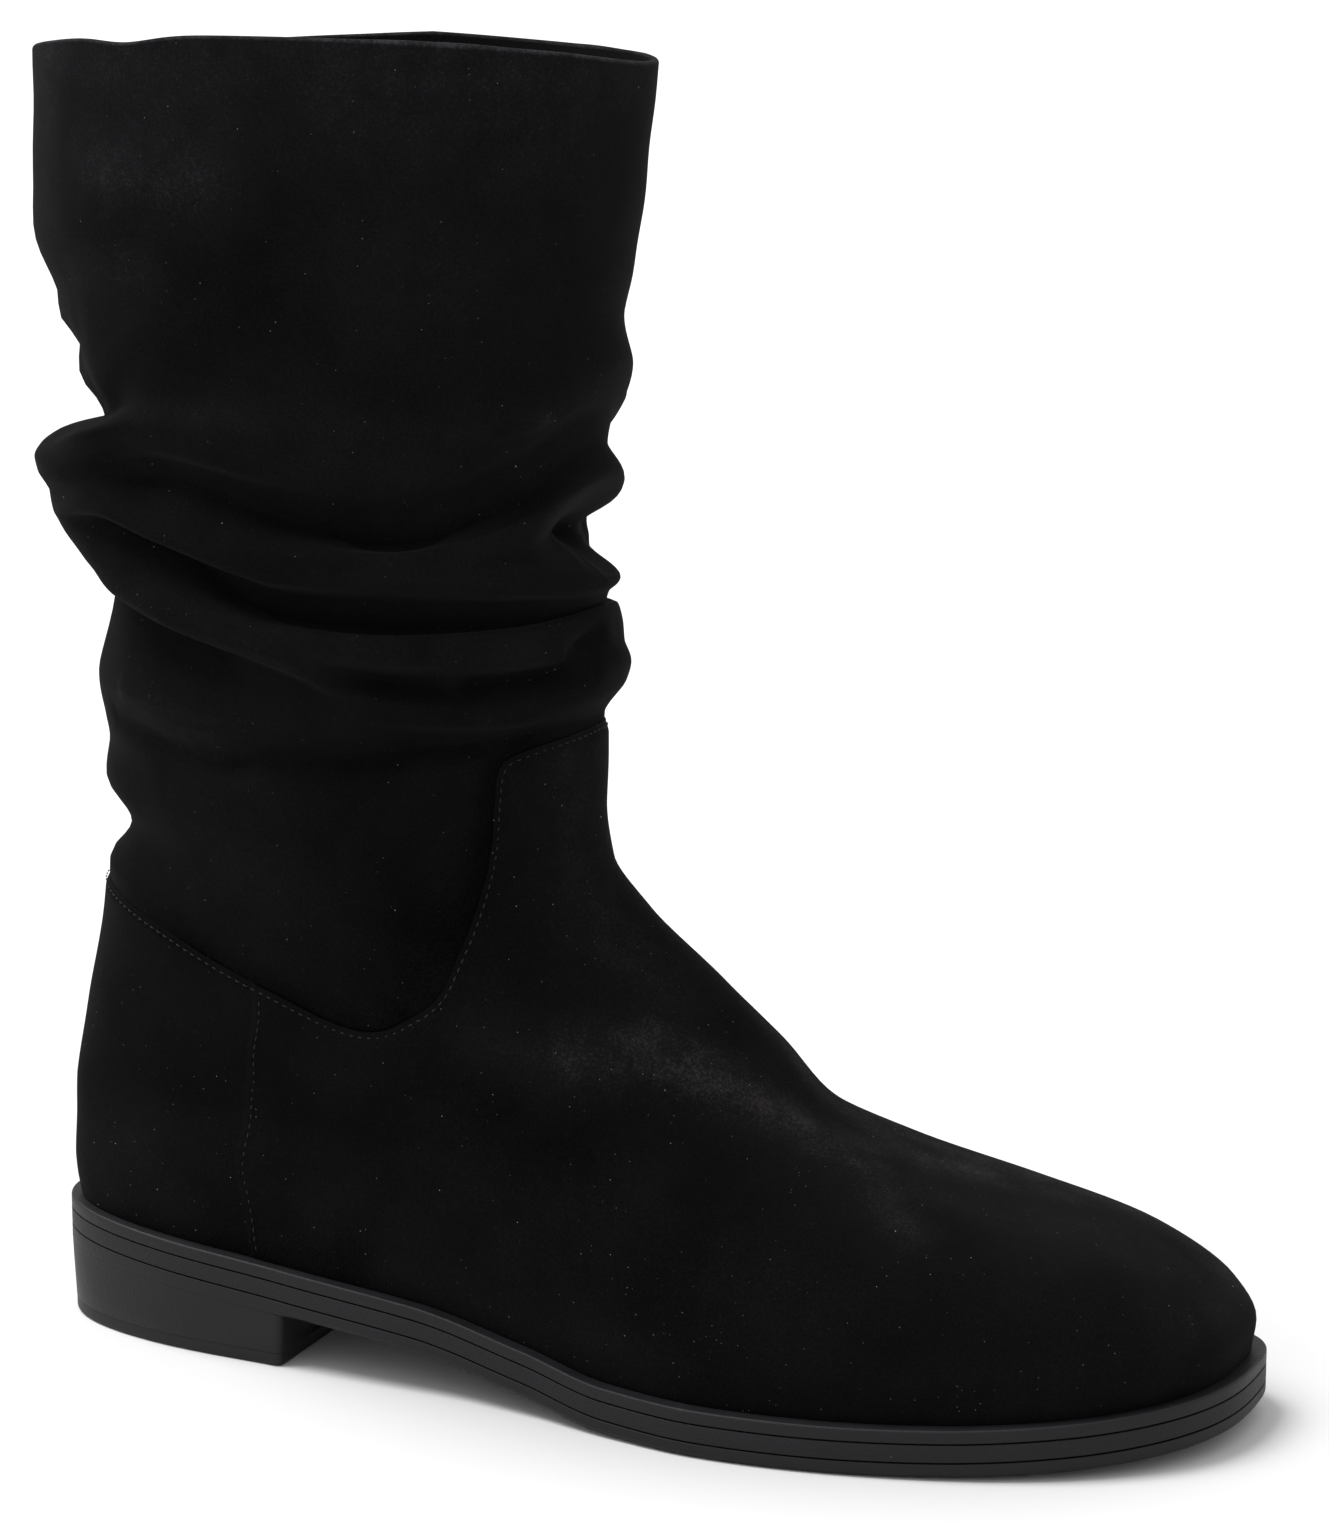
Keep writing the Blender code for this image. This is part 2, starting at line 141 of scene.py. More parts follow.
@dataclass(frozen=True)
class BootForm:
    """Outer form of the boot without folds, as the solids have it."""

    sole_length: float = 255.0
    toe_swing: float = 12.0
    swing_start: float = 0.25
    bluntness: float = 0.75
    turn_nudge: float = 0.02
    level_nudge: float = 0.5

    @property
    def sole(self) -> Table:
        """Half breadths of the sole and height of its tread, by share of the length."""
        return table(
            "share lateral medial tread",
            (0.00, 41.0, 41.0, 16.0),
            (0.12, 38.0, 38.0, 13.8),
            (0.24, 35.2, 34.5, 11.3),
            (0.36, 36.0, 25.5, 8.5),
            (0.46, 40.8, 26.0, 4.0),
            (0.54, 47.8, 29.0, 0.5),
            (0.62, 54.5, 33.0, 0.0),
            (0.70, 58.3, 37.5, 0.0),
            (0.80, 61.3, 39.7, 0.4),
            (0.90, 63.5, 40.0, 1.7),
            (1.00, 64.5, 40.0, 4.0),
        )

    @property
    def slices(self) -> Table:
        """Level slices: back and front points, share of the sole's breadth, oval and share of its dip."""
        return table(
            "level back_x front_z front_x foot oval dip",
            (26.0, 1.2, 13.7, 252.0, 1.00, -3.0, 1.00),
            (31.0, 0.4, 19.5, 252.8, 1.00, -2.2, 0.85),
            (38.0, 0.0, 27.0, 248.5, 1.00, -2.5, 0.60),
            (46.0, 0.2, 35.0, 235.5, 0.97, -2.5, 0.35),
            (54.0, 1.0, 41.0, 214.5, 0.92, -2.5, 0.15),
            (62.0, 2.6, 48.0, 188.0, 0.82, 1.0, 0.05),
            (70.0, 4.4, 57.0, 165.5, 0.66, 7.5, 0.00),
            (78.0, 6.2, 68.0, 155.5, 0.48, 15.0, 0.00),
            (86.0, 7.6, 80.0, 143.0, 0.30, 22.0, 0.00),
            (94.0, 9.0, 93.0, 127.3, 0.14, 29.0, 0.00),
            (102.0, 10.3, 104.0, 118.8, 0.04, 34.0, 0.00),
            (112.0, 11.5, 115.0, 117.5, 0.00, 36.5, 0.00),
            (130.0, 10.5, 131.0, 118.0, 0.00, 38.0, 0.00),
            (150.0, 10.5, 150.0, 118.0, 0.00, 39.5, 0.00),
            (175.0, 6.0, 175.0, 118.5, 0.00, 41.5, 0.00),
            (205.0, 3.0, 205.0, 120.5, 0.00, 44.0, 0.00),
            (235.0, -1.6, 235.0, 124.6, 0.00, 45.0, 0.00),
            (272.0, -0.6, 272.0, 128.2, 0.00, 45.5, 0.00),
        )

    def swing(self, x: Array) -> Array:
        """Sideways bend of the middle line towards the inner side at the toe."""
        return self.toe_swing * ease((x / self.sole_length - self.swing_start) / (1 - self.swing_start))

    def tread(self, x: Array) -> Array:
        """Height of the outsole's underside above the floor."""
        return smooth(self.sole["share"], self.sole["tread"], x / self.sole_length)

    def breadth(self, x: Array, turn: Array) -> Array:
        """Signed half breadth of the sole: lateral for the first half turn, then medial."""
        lateral = smooth(self.sole["share"], self.sole["lateral"], x / self.sole_length)
        medial = smooth(self.sole["share"], self.sole["medial"], x / self.sole_length)
        return np.where(np.sin(turn) > 0, -lateral, medial)

    def edge(self, turn: Array) -> Array:
        """Plan of the sole's edge.

        x is a half cosine of the turn, and y the bent middle line plus the half breadth times a power of the
        turn's sine.
        """
        x = self.sole_length * (1 - np.cos(turn)) / 2
        y = self.swing(x) + self.breadth(x, turn) * np.abs(np.sin(turn)) ** self.bluntness
        return np.stack([x, y], axis=-1)

    def inset_edge(self, turn: Array, inset: float | Array) -> Array:
        """Plan of the sole's edge moved inwards along its plan normal."""
        along = unit(self.edge(turn + self.turn_nudge) - self.edge(turn - self.turn_nudge))
        outward = np.stack([along[..., 1], -along[..., 0]], axis=-1)
        return self.edge(turn) - outward * inset

    def surface(self, turn: Array, level: Array) -> Array:
        """Point of the form: turn goes round from the back, level goes up the slices.

        x is a half cosine between the slice's back and front; y is the bent middle line plus a half breadth
        mixed from the sole and an oval, times a power of the sine; z tips from the level to the slice's
        front height and takes its share of the sole's dip.

        Args:
            turn: angles round the boot.
            level: heights of the slices at the back.

        Returns:
            Points with a last axis of x, y, z.
        """
        rows = self.slices
        row = {name: smooth(rows["level"], rows[name], level) for name in rows if name != "level"}
        share = (1 - np.cos(turn)) / 2
        x = row["back_x"] + (row["front_x"] - row["back_x"]) * share
        side = np.where(np.sin(turn) > 0, -1.0, 1.0)
        half = row["foot"] * self.breadth(x, turn) + row["oval"] * side
        blunt = 1 - (1 - self.bluntness) * row["foot"]
        y = self.swing(x) + half * np.abs(np.sin(turn)) ** blunt
        heel_end = self.tread(row["back_x"])
        toe_end = self.tread(row["front_x"])
        dip = self.tread(x) - heel_end - (toe_end - heel_end) * share
        z = level + (row["front_z"] - level) * share + row["dip"] * dip
        return np.stack([x, y, z], axis=-1)

    def normal(self, turn: Array, level: Array) -> Array:
        """Unit normals of the form, from nudges round it and up it."""
        nudge, rise = self.turn_nudge, self.level_nudge
        around = self.surface(turn + nudge, level) - self.surface(turn - nudge, level)
        upward = self.surface(turn, level + rise) - self.surface(turn, level - rise)
        return unit(np.cross(around, upward))


FORM = BootForm()


@dataclass(frozen=True)
class Throat:
    """Top edge of the upper, from the back round both sides to the tab on the instep."""

    foot_level: float = 26.0
    seam_points: int = 400
    edge_points: int = 161

    @property
    def rows(self) -> Table:
        """Turn at the sole, turn at the edge and level there, from back to front."""
        return table(
            "sole_turn edge_turn level",
            (0.0, 0.0, 96.2),
            (12.0, 16.0, 95.8),
            (24.0, 32.0, 94.0),
            (38.0, 50.0, 90.5),
            (55.0, 73.5, 82.8),
            (70.0, 89.3, 78.2),
            (84.0, 101.8, 82.5),
            (98.0, 114.2, 88.9),
            (113.0, 126.5, 95.1),
            (129.0, 136.8, 102.0),
            (143.0, 140.4, 109.8),
            (154.0, 141.3, 117.0),
            (162.0, 141.9, 123.0),
            (168.0, 143.8, 127.0),
            (172.0, 152.3, 129.5),
            (176.0, 166.0, 130.9),
            (180.0, 180.0, 131.6),
        )

    def columns(self, place: Array) -> tuple[Array, Array, Array]:
        """Both sides' turn at the sole, turn at the edge and edge level, in radians and levels.

        Args:
            place: rising places between the table's rows, from the back to the front.

        Returns:
            Three arrays that run once round the boot.
        """
        rows = self.rows
        row = np.arange(len(rows["level"]), dtype=float)
        half = smooth(row, rows["sole_turn"], place)
        edge = smooth(row, rows["edge_turn"], place)
        level = smooth(row, rows["level"], place)
        sole_turn = np.radians(np.concatenate([half, 360.0 - half[-2:0:-1]]))
        edge_turn = np.radians(np.concatenate([edge, 360.0 - edge[-2:0:-1]]))
        return sole_turn, edge_turn, np.concatenate([level, level[-2:0:-1]])

    @property
    def lean(self) -> Table:
        """How the columns lean from their turn at the sole to their turn at the edge as they climb."""
        return table("climb share", (0.0, 0.0), (0.27, 0.0), (0.50, 0.235), (0.77, 0.715), (1.0, 1.0))

    def path(
        self, sole_turn: Array, edge_turn: Array, edge_level: Array, climb: Array
    ) -> tuple[Array, Array]:
        """Turn and level along columns: the level rises evenly, the turn leans by the lean table."""
        level = self.foot_level + (edge_level - self.foot_level) * climb
        share = smooth(self.lean["climb"], self.lean["share"], climb)
        return sole_turn + (edge_turn - sole_turn) * share, level

    def seam(self, inset: float) -> tuple[Array, Array]:
        """Points and normals of a line round the foot side of the edge, square to it by the inset."""
        last = len(self.rows["level"]) - 1.0
        _, turn, level = self.columns(np.linspace(0.0, last, self.seam_points))
        edge, normal = FORM.surface(turn, level), FORM.normal(turn, level)
        along = unit(np.roll(edge, -1, axis=0) - np.roll(edge, 1, axis=0))
        return edge + np.cross(along, normal) * inset, normal

    def above(self, turn: Array, level: Array) -> Array:
        """How far places on the form lie above the edge; below it, less than nothing."""
        rows = self.rows
        last = len(rows["level"]) - 1.0
        _, edge_turn, edge_level = self.columns(np.linspace(0.0, last, self.edge_points))
        edge = FORM.surface(edge_turn, edge_level)
        points = FORM.surface(turn, level)
        apart = np.full(turn.shape, np.inf)
        for point in edge:
            apart = np.minimum(apart, ((points - point) ** 2).sum(axis=-1))
        here = smooth(rows["edge_turn"], rows["level"], np.degrees(half_turn(turn)))
        return np.where(level > here, np.sqrt(apart), -np.sqrt(apart))


THROAT = Throat()


@dataclass(frozen=True)
class Stroke:
    """A soft crease or swelling drawn from one place on the form to another.

    Its height is greatest on the line between the two places and falls off as a bell curve beside it;
    breadth is the bell's half breadth in millimetres. Each side of the boot takes its own share.
    """

    start: tuple[float, float]
    end: tuple[float, float]
    height: float
    breadth: float
    lateral: float = 1.0
    medial: float = 0.6
    girth: float = 48.0
    end_share: float = 0.55
    side_blend: float = 0.3

    def relief(self, turn: Array, level: Array) -> Array:
        """Height of the stroke at places given by turn and level."""
        to_arc = np.pi / 180.0 * self.girth
        here = np.stack([np.degrees(half_turn(turn)) * to_arc, level], axis=-1)
        first = np.array([self.start[0] * to_arc, self.start[1]])
        along = np.array([self.end[0] * to_arc, self.end[1]]) - first
        share = np.clip(((here - first) @ along) / (along @ along), 0.0, 1.0)
        apart = np.linalg.norm(here - first - share[..., None] * along, axis=-1)
        taper = self.end_share + (1 - self.end_share) * np.sin(np.pi * share)
        lateral = ease(np.sin(turn) / self.side_blend + 0.5)
        side = self.medial + (self.lateral - self.medial) * lateral
        return self.height * side * taper * np.exp(-((apart / self.breadth) ** 2))


@dataclass(frozen=True)
class NapPatches:
    """Soft bands where the nap is lighter or darker, each round a straight line in the drawing."""

    rows: Table

    def amount(self, points: Array) -> Array:
        """Strength of the strongest band at points of the drawing.

        A band is strongest on its line and falls off as a bell curve over its reach.
        """
        strongest = np.zeros(len(points))
        for x0, y0, z0, x1, y1, z1, reach, strength in zip(*self.rows.values()):
            first, along = np.array([x0, y0, z0]), np.array([x1 - x0, y1 - y0, z1 - z0])
            share = np.clip((points - first) @ along / (along @ along), 0.0, 1.0)
            apart = np.linalg.norm(points - first - share[:, None] * along, axis=-1)
            strongest = np.maximum(strongest, strength * np.exp(-((apart / reach) ** 2)))
        return strongest


# Lighter bands: rubbed-up nap on the vamp, counter and instep, then painted light on the shaft's folds, its
# top and left side, and a painted highlight along one crease.
BRUSHED_NAP_AND_PAINTED_LIGHT = NapPatches(table(
    "x0 y0 z0 x1 y1 z1 reach strength",
    (104.0, -31.0, 74.0, 124.0, -26.5, 71.5, 7.0, 0.50),
    (124.0, -26.5, 71.5, 138.0, -18.5, 72.0, 8.0, 0.85),
    (138.0, -18.5, 72.0, 146.0, -15.5, 68.5, 8.0, 1.20),
    (146.0, -15.5, 68.5, 155.0, -11.0, 63.0, 7.0, 1.20),
    (155.0, -11.0, 63.0, 165.0, -6.0, 56.0, 7.0, 1.15),
    (165.0, -6.0, 56.0, 180.0, -9.0, 50.0, 8.0, 0.90),
    (150.0, 8.0, 70.0, 166.0, 12.0, 58.5, 5.0, 0.90),
    (166.0, 12.0, 58.5, 186.0, 16.0, 49.0, 6.0, 1.05),
    (186.0, 16.0, 49.0, 206.0, 22.0, 42.5, 6.5, 1.05),
    (206.0, 22.0, 42.5, 228.0, 24.0, 34.5, 6.5, 0.90),
    (228.0, 24.0, 34.5, 246.0, 16.0, 27.0, 6.0, 0.80),
    (173.0, 12.0, 53.0, 188.0, 6.0, 48.0, 6.5, 0.95),
    (165.0, -6.0, 56.0, 188.0, 6.0, 48.0, 6.5, 0.80),
    (188.0, 6.0, 48.0, 197.0, 12.0, 45.5, 7.5, 1.10),
    (197.0, 12.0, 45.5, 213.0, 16.0, 41.5, 8.5, 0.65),
    (180.0, -9.0, 50.0, 192.0, -22.5, 43.5, 6.5, 0.75),
    (192.0, -8.0, 46.0, 214.0, 0.0, 41.0, 9.0, 0.40),
    (220.0, 8.0, 38.0, 236.0, 4.0, 33.0, 12.0, 0.30),
    (246.0, -8.0, 26.0, 252.0, 14.0, 25.0, 8.0, 0.38),
    (16.0, -21.0, 36.0, 24.0, -25.0, 42.0, 12.0, 0.26),
    (117.0, -6.0, 108.0, 116.0, -6.0, 128.0, 10.0, 0.55),
    (120.0, -9.0, 98.0, 136.0, -8.0, 82.0, 12.0, 0.52),
    (36.0, -32.0, 112.0, 60.0, -36.0, 102.0, 12.0, 0.22),
    # Painted light from here to the end: lighter fold bellies, the shaft's lit top and left side, and a thin
    # painted highlight along a crease.
    (30.0, -32.0, 134.0, 58.0, -39.0, 131.0, 8.0, 0.42),
    (55.0, -43.0, 153.0, 84.0, -40.0, 152.0, 6.0, 0.25),
    (84.0, -40.0, 152.0, 112.0, -22.0, 151.0, 6.0, 0.25),
    (82.0, -36.0, 134.0, 112.0, -19.0, 136.0, 6.0, 0.15),
    (15.0, -30.0, 264.0, 14.0, -30.0, 234.0, 9.0, 0.38),
    (30.0, -39.0, 245.0, 54.0, -45.0, 243.0, 11.0, 0.62),
    (22.0, -34.5, 224.0, 38.0, -41.5, 224.5, 7.0, 0.45),
    (30.0, -39.0, 260.0, 60.0, -45.0, 259.0, 8.0, 0.30),
    (84.0, -42.0, 256.0, 118.0, -20.0, 252.0, 14.0, 0.34),
    (88.0, -40.0, 232.0, 104.0, -31.0, 224.0, 13.0, 0.24),
    (101.0, -31.0, 194.0, 115.0, -17.5, 196.5, 1.8, 0.90),
    (40.0, -40.0, 192.0, 60.0, -43.0, 195.0, 8.0, 0.18),
    (12.0, -20.0, 182.0, 20.0, -28.0, 181.0, 7.0, 0.30),
))

# Painted shade: darker bands on the lateral side of the vamp and quarter, next to the welt, and on the
# shaft's folds.
PAINTED_SHADE = NapPatches(table(
    "x0 y0 z0 x1 y1 z1 reach strength",
    (92.0, -44.0, 48.0, 150.0, -48.0, 30.0, 17.0, 0.30),
    (94.0, -31.0, 92.0, 106.0, -30.0, 56.0, 13.0, 0.30),
    (150.0, -40.0, 42.0, 176.0, -40.0, 36.0, 12.0, 0.20),
    (44.0, -30.0, 22.0, 74.0, -31.0, 24.0, 9.0, 0.45),
    (36.0, -37.0, 174.0, 52.0, -41.0, 176.0, 7.0, 0.14),
    (56.0, -38.0, 128.0, 80.0, -37.0, 127.0, 8.0, 0.06),
    (38.0, -36.0, 150.0, 52.0, -40.0, 148.0, 6.0, 0.30),
    (52.0, -30.0, 50.0, 72.0, -32.0, 46.0, 12.0, 0.08),
    (108.0, -35.0, 52.0, 128.0, -34.0, 50.0, 11.0, 0.34),
    (48.0, -43.0, 216.0, 74.0, -45.0, 226.0, 9.0, 0.22),
))


@dataclass(frozen=True)
class Pattern:
    """Noise: repeats in a metre, detail, roughness, and the values that are stretched to 0 and 1."""

    scale: float | Socket
    detail: float
    rough: float
    low: float = 0.0
    high: float = 1.0


class Shader:
    """A small hand for wiring shader nodes in a material or a node group."""

    def __init__(self, tree: bpy.types.NodeTree) -> None:
        """Keep the tree that nodes go into."""
        self.tree = tree

    def fill(self, node: Node, **inputs: object) -> None:
        """Give a node its inputs.

        Args:
            node: the node.
            inputs: values or sockets, by name with spaces as underscores, or by place as i0, i1.
        """
        for name, value in inputs.items():
            key = int(name[1:]) if name[0] == "i" and name[1:].isdigit() else name.replace("_", " ")
            if isinstance(value, Socket):
                self.tree.links.new(value, node.inputs[key])
            else:
                node.inputs[key].default_value = value

    def add(self, kind: str, settings: dict | None = None, **inputs: object) -> Node:
        """Add a node.

        Args:
            kind: the node's type name.
            settings: plain properties of the node.
            inputs: values or sockets for its inputs, named as in fill.

        Returns:
            The node.
        """
        node = self.tree.nodes.new(kind)
        for name, value in (settings or {}).items():
            setattr(node, name, value)
        self.fill(node, **inputs)
        return node

    def math(self, operation: str, *values: object) -> Socket:
        """Result of a maths node on values or sockets."""
        inputs = {f"i{place}": value for place, value in enumerate(values)}
        return self.add("ShaderNodeMath", {"operation": operation}, **inputs).outputs[0]

    def remap(self, value: Socket, low: float, high: float) -> Socket:
        """Value stretched so that low becomes 0 and high becomes 1, clamped."""
        node = self.add("ShaderNodeMapRange", {"clamp": True}, Value=value, From_Min=low, From_Max=high)
        return node.outputs["Result"]

    def mix(self, share: object, first: object, second: object) -> Socket:
        """Colour mixed from two colours."""
        return self.add("ShaderNodeMix", {"data_type": "RGBA"}, i0=share, i6=first, i7=second).outputs[2]

    def noise(self, place: Socket, pattern: Pattern) -> Socket:
        """Value of a noise pattern, about 0.5 in the mean."""
        inputs = {"Scale": pattern.scale, "Detail": pattern.detail, "Roughness": pattern.rough}
        return self.add("ShaderNodeTexNoise", None, Vector=place, **inputs).outputs[0]

    def stretched(self, place: Socket, pattern: Pattern) -> Socket:
        """Value of a noise pattern between 0 and 1, stretched from its low to its high."""
        return self.remap(self.noise(place, pattern), pattern.low, pattern.high)

    def specks(
        self, place: Socket, scale: float, near: float, far: float, amount: Socket
    ) -> tuple[Socket, Socket]:
        """Sparse round specks.

        Each cell of a Voronoi pattern has a speck in its middle, full up to the near distance and gone at the
        far one, if the cell's own random number falls within the amount.

        Args:
            place: coordinates.
            scale: cells in a metre.
            near: distance up to which a speck is full, in cells.
            far: distance at which it ends.
            amount: share of the cells that have a speck.

        Returns:
            Mask of the specks, and a random number for each cell.
        """
        cells = self.add("ShaderNodeTexVoronoi", None, Vector=place, Scale=scale, Randomness=1.0)
        speck = self.remap(cells.outputs["Distance"], far, near)
        pick = self.add("ShaderNodeSeparateColor", None, Color=cells.outputs["Color"])
        chosen = self.math("GREATER_THAN", pick.outputs[0], self.math("SUBTRACT", 1.0, amount))
        return self.math("MULTIPLY", speck, chosen), pick.outputs[1]


def new_group(name: str, inputs: dict[str, str], outputs: tuple[str, ...]) -> tuple[Shader, dict, Node]:
    """Start a shader node group.

    Args:
        name: name of the group.
        inputs: socket types of its inputs by name.
        outputs: names of its outputs, which are all values.

    Returns:
        The hand for its nodes, its input sockets by name, and the node that takes its outputs.
    """
    tree = bpy.data.node_groups.new(name, "ShaderNodeTree")
    for socket, kind in inputs.items():
        tree.interface.new_socket(socket, in_out="INPUT", socket_type=kind)
    for socket in outputs:
        tree.interface.new_socket(socket, in_out="OUTPUT", socket_type=FLOAT)
    start = tree.nodes.new("NodeGroupInput")
    return Shader(tree), dict(start.outputs.items()), tree.nodes.new("NodeGroupOutput")


def new_material(name: str) -> tuple[bpy.types.Material, Shader, Node]:
    """Start a material: itself, the hand for its nodes, and its Principled surface."""
    made = bpy.data.materials.new(name)
    made.use_nodes = True
    return made, Shader(made.node_tree), made.node_tree.nodes["Principled BSDF"]


@dataclass(frozen=True)
class SuedeNap:
    """Nap of suede: cloudy shade, short fibres, light grains and sparse lint.

    The lift input brings light grains and lighter tone where the nap is rubbed up and where light is painted,
    and less tone where shade is painted. The shade runs from 0 to about 2, where that input is highest.
    """

    cloud: Pattern = Pattern(45.0, 4.0, 0.6, 0.36, 0.68)
    drift: Pattern = Pattern(13.0, 2.0, 0.5, 0.35, 0.65)
    fibre: Pattern = Pattern(2000.0, 3.0, 0.75, 0.37, 0.63)
    mottle: Pattern = Pattern(150.0, 3.0, 0.6, 0.34, 0.66)
    grain: Pattern = Pattern(1650.0, 3.0, 0.75, -0.03, 0.18)
    cloud_share: float = 0.55
    least_shade: float = 0.13
    fibre_depth: float = 0.6
    mottling: float = 0.6
    bare_level: float = 0.6
    bare_drop: float = 0.13
    grain_light: float = 0.9
    plain_grain: float = 0.14
    patch_light: float = 0.42
    lint_fading: float = 3.0
    cloud_height: float = 0.3

    @property
    def lint(self) -> Table:
        """Two sizes of lint: cells in a metre, brightness, and the near and far distances of a speck."""
        return table("scale light near far", (330.0, 1.0, 0.026, 0.05), (900.0, 0.45, 0.05, 0.11))

    def group(self) -> bpy.types.NodeTree:
        """Build the nap as a node group."""
        inputs = {"Place": VECTOR, "Brushed": FLOAT, "Cloud": FLOAT, "Lint": FLOAT}
        hand, given, end = new_group("suede_nap", inputs, ("Shade", "Lint", "Height"))
        place, math = given["Place"], hand.math
        cloud, drift = hand.stretched(place, self.cloud), hand.stretched(place, self.drift)
        soft = math("MULTIPLY", drift, 1 - self.cloud_share)
        soft = math("ADD", math("MULTIPLY", cloud, self.cloud_share), soft)
        base = math("MULTIPLY_ADD", soft, given["Cloud"], self.least_shade)
        fibre = hand.noise(place, self.fibre)
        fine = hand.remap(fibre, self.fibre.low, self.fibre.high)
        fine = math("MULTIPLY_ADD", fine, self.fibre_depth, 1 - self.fibre_depth / 2)
        base = math("MULTIPLY", base, fine)
        mottle = math("MULTIPLY_ADD", hand.stretched(place, self.mottle), self.mottling, self.mottling)
        # the lift input holds raised nap and painted light above nought and painted shade below it
        lift_and_painted_shading = math("MAXIMUM", given["Brushed"], 0.0)
        painted_darkening = math("MINIMUM", given["Brushed"], 0.0)
        patchy = math("MULTIPLY_ADD", lift_and_painted_shading, mottle, painted_darkening)
        bare = math("MULTIPLY_ADD", patchy, -self.bare_drop, self.bare_level)
        raised = math("SUBTRACT", hand.noise(place, self.grain), bare)
        raised = hand.remap(raised, self.grain.low, self.grain.high)
        light = math("MULTIPLY_ADD", patchy, self.grain_light, self.plain_grain)
        shade = math("MULTIPLY_ADD", raised, light, base)
        shade = math("MULTIPLY_ADD", patchy, self.patch_light, shade)
        lint = 0.0
        for scale, glow, near, far in zip(*self.lint.values()):
            mask, chance = hand.specks(place, scale, near, far, given["Lint"])
            bright = math("MULTIPLY", math("POWER", chance, self.lint_fading), glow)
            lint = math("MAXIMUM", math("MULTIPLY", mask, bright), lint)
        height = math("MULTIPLY_ADD", cloud, self.cloud_height, fibre)
        hand.fill(end, Shade=shade, Lint=lint, Height=height)
        return hand.tree


@dataclass(frozen=True)
class FineGrain:
    """Grain of moulded or woven stuff: fine pits at each finish's own scale, soft mottling and dust."""

    pit_detail: float = 3.0
    pit_rough: float = 0.5
    mottle: Pattern = Pattern(55.0, 3.0, 0.6, 0.35, 0.7)
    dust_scale: float = 210.0
    dust_near: float = 0.02
    dust_far: float = 0.05
    pit_share: float = 0.4

    def group(self) -> bpy.types.NodeTree:
        """Build the grain as a node group."""
        inputs = {"Place": VECTOR, "Scale": FLOAT, "Dust": FLOAT}
        hand, given, end = new_group("fine_grain", inputs, ("Shade", "Dust", "Height"))
        place = given["Place"]
        pits = hand.noise(place, Pattern(given["Scale"], self.pit_detail, self.pit_rough))
        mottle = hand.stretched(place, self.mottle)
        dust, _ = hand.specks(place, self.dust_scale, self.dust_near, self.dust_far, given["Dust"])
        hand.fill(end, Shade=hand.math("MULTIPLY_ADD", pits, self.pit_share, mottle), Dust=dust, Height=pits)
        return hand.tree


@dataclass(frozen=True)
class SuedeFinish:
    """Matte black suede with a short nap."""

    name: str = "black_suede"
    dark: float = 0.0013
    light: float = 0.0265
    dark_tint: Triple = (0.97, 0.945, 1.17)
    light_tint: Triple = (1.02, 0.955, 1.03)
    full_shade: float = 2.0
    cloud: float = 0.24
    lint: float = 0.2
    lint_colour: Triple = (0.42, 0.41, 0.40)
    bump: float = 0.45
    fibre_length: float = 0.0004
    roughness: float = 0.96
    specular: float = 0.02
    sheen: float = 0.02
    sheen_roughness: float = 0.35
    sheen_tint: Triple = (0.9, 0.9, 0.92)

    def material(self, nap: bpy.types.NodeTree) -> bpy.types.Material:
        """Principled suede: shade from the nap group, lint on top, sheen for the raised fibres."""
        made, hand, surface = new_material(self.name)
        place = hand.add("ShaderNodeTexCoord").outputs["Object"]
        # per point: raised nap and painted light above nought, painted shade below it
        brushed = hand.add("ShaderNodeAttribute", {"attribute_name": NAP_AND_SHADING_LAYER}).outputs["Fac"]
        inputs = {"Place": place, "Brushed": brushed, "Cloud": self.cloud, "Lint": self.lint}
        group = hand.add("ShaderNodeGroup", {"node_tree": nap}, **inputs).outputs
        dark = (*(self.dark * part for part in self.dark_tint), 1.0)
        light = (*(self.light * part for part in self.light_tint), 1.0)
        colour = hand.mix(hand.remap(group["Shade"], 0.0, self.full_shade), dark, light)
        colour = hand.mix(group["Lint"], colour, (*self.lint_colour, 1.0))
        relief = {"Height": group["Height"], "Strength": self.bump, "Distance": self.fibre_length}
        bump = hand.add("ShaderNodeBump", None, **relief)
        hand.fill(surface, Base_Color=colour, Normal=bump.outputs[0])
        hand.fill(surface, Roughness=self.roughness, Specular_IOR_Level=self.specular)
        hand.fill(surface, Sheen_Weight=self.sheen, Sheen_Roughness=self.sheen_roughness)
        hand.fill(surface, Sheen_Tint=(*self.sheen_tint, 1.0))
        return made


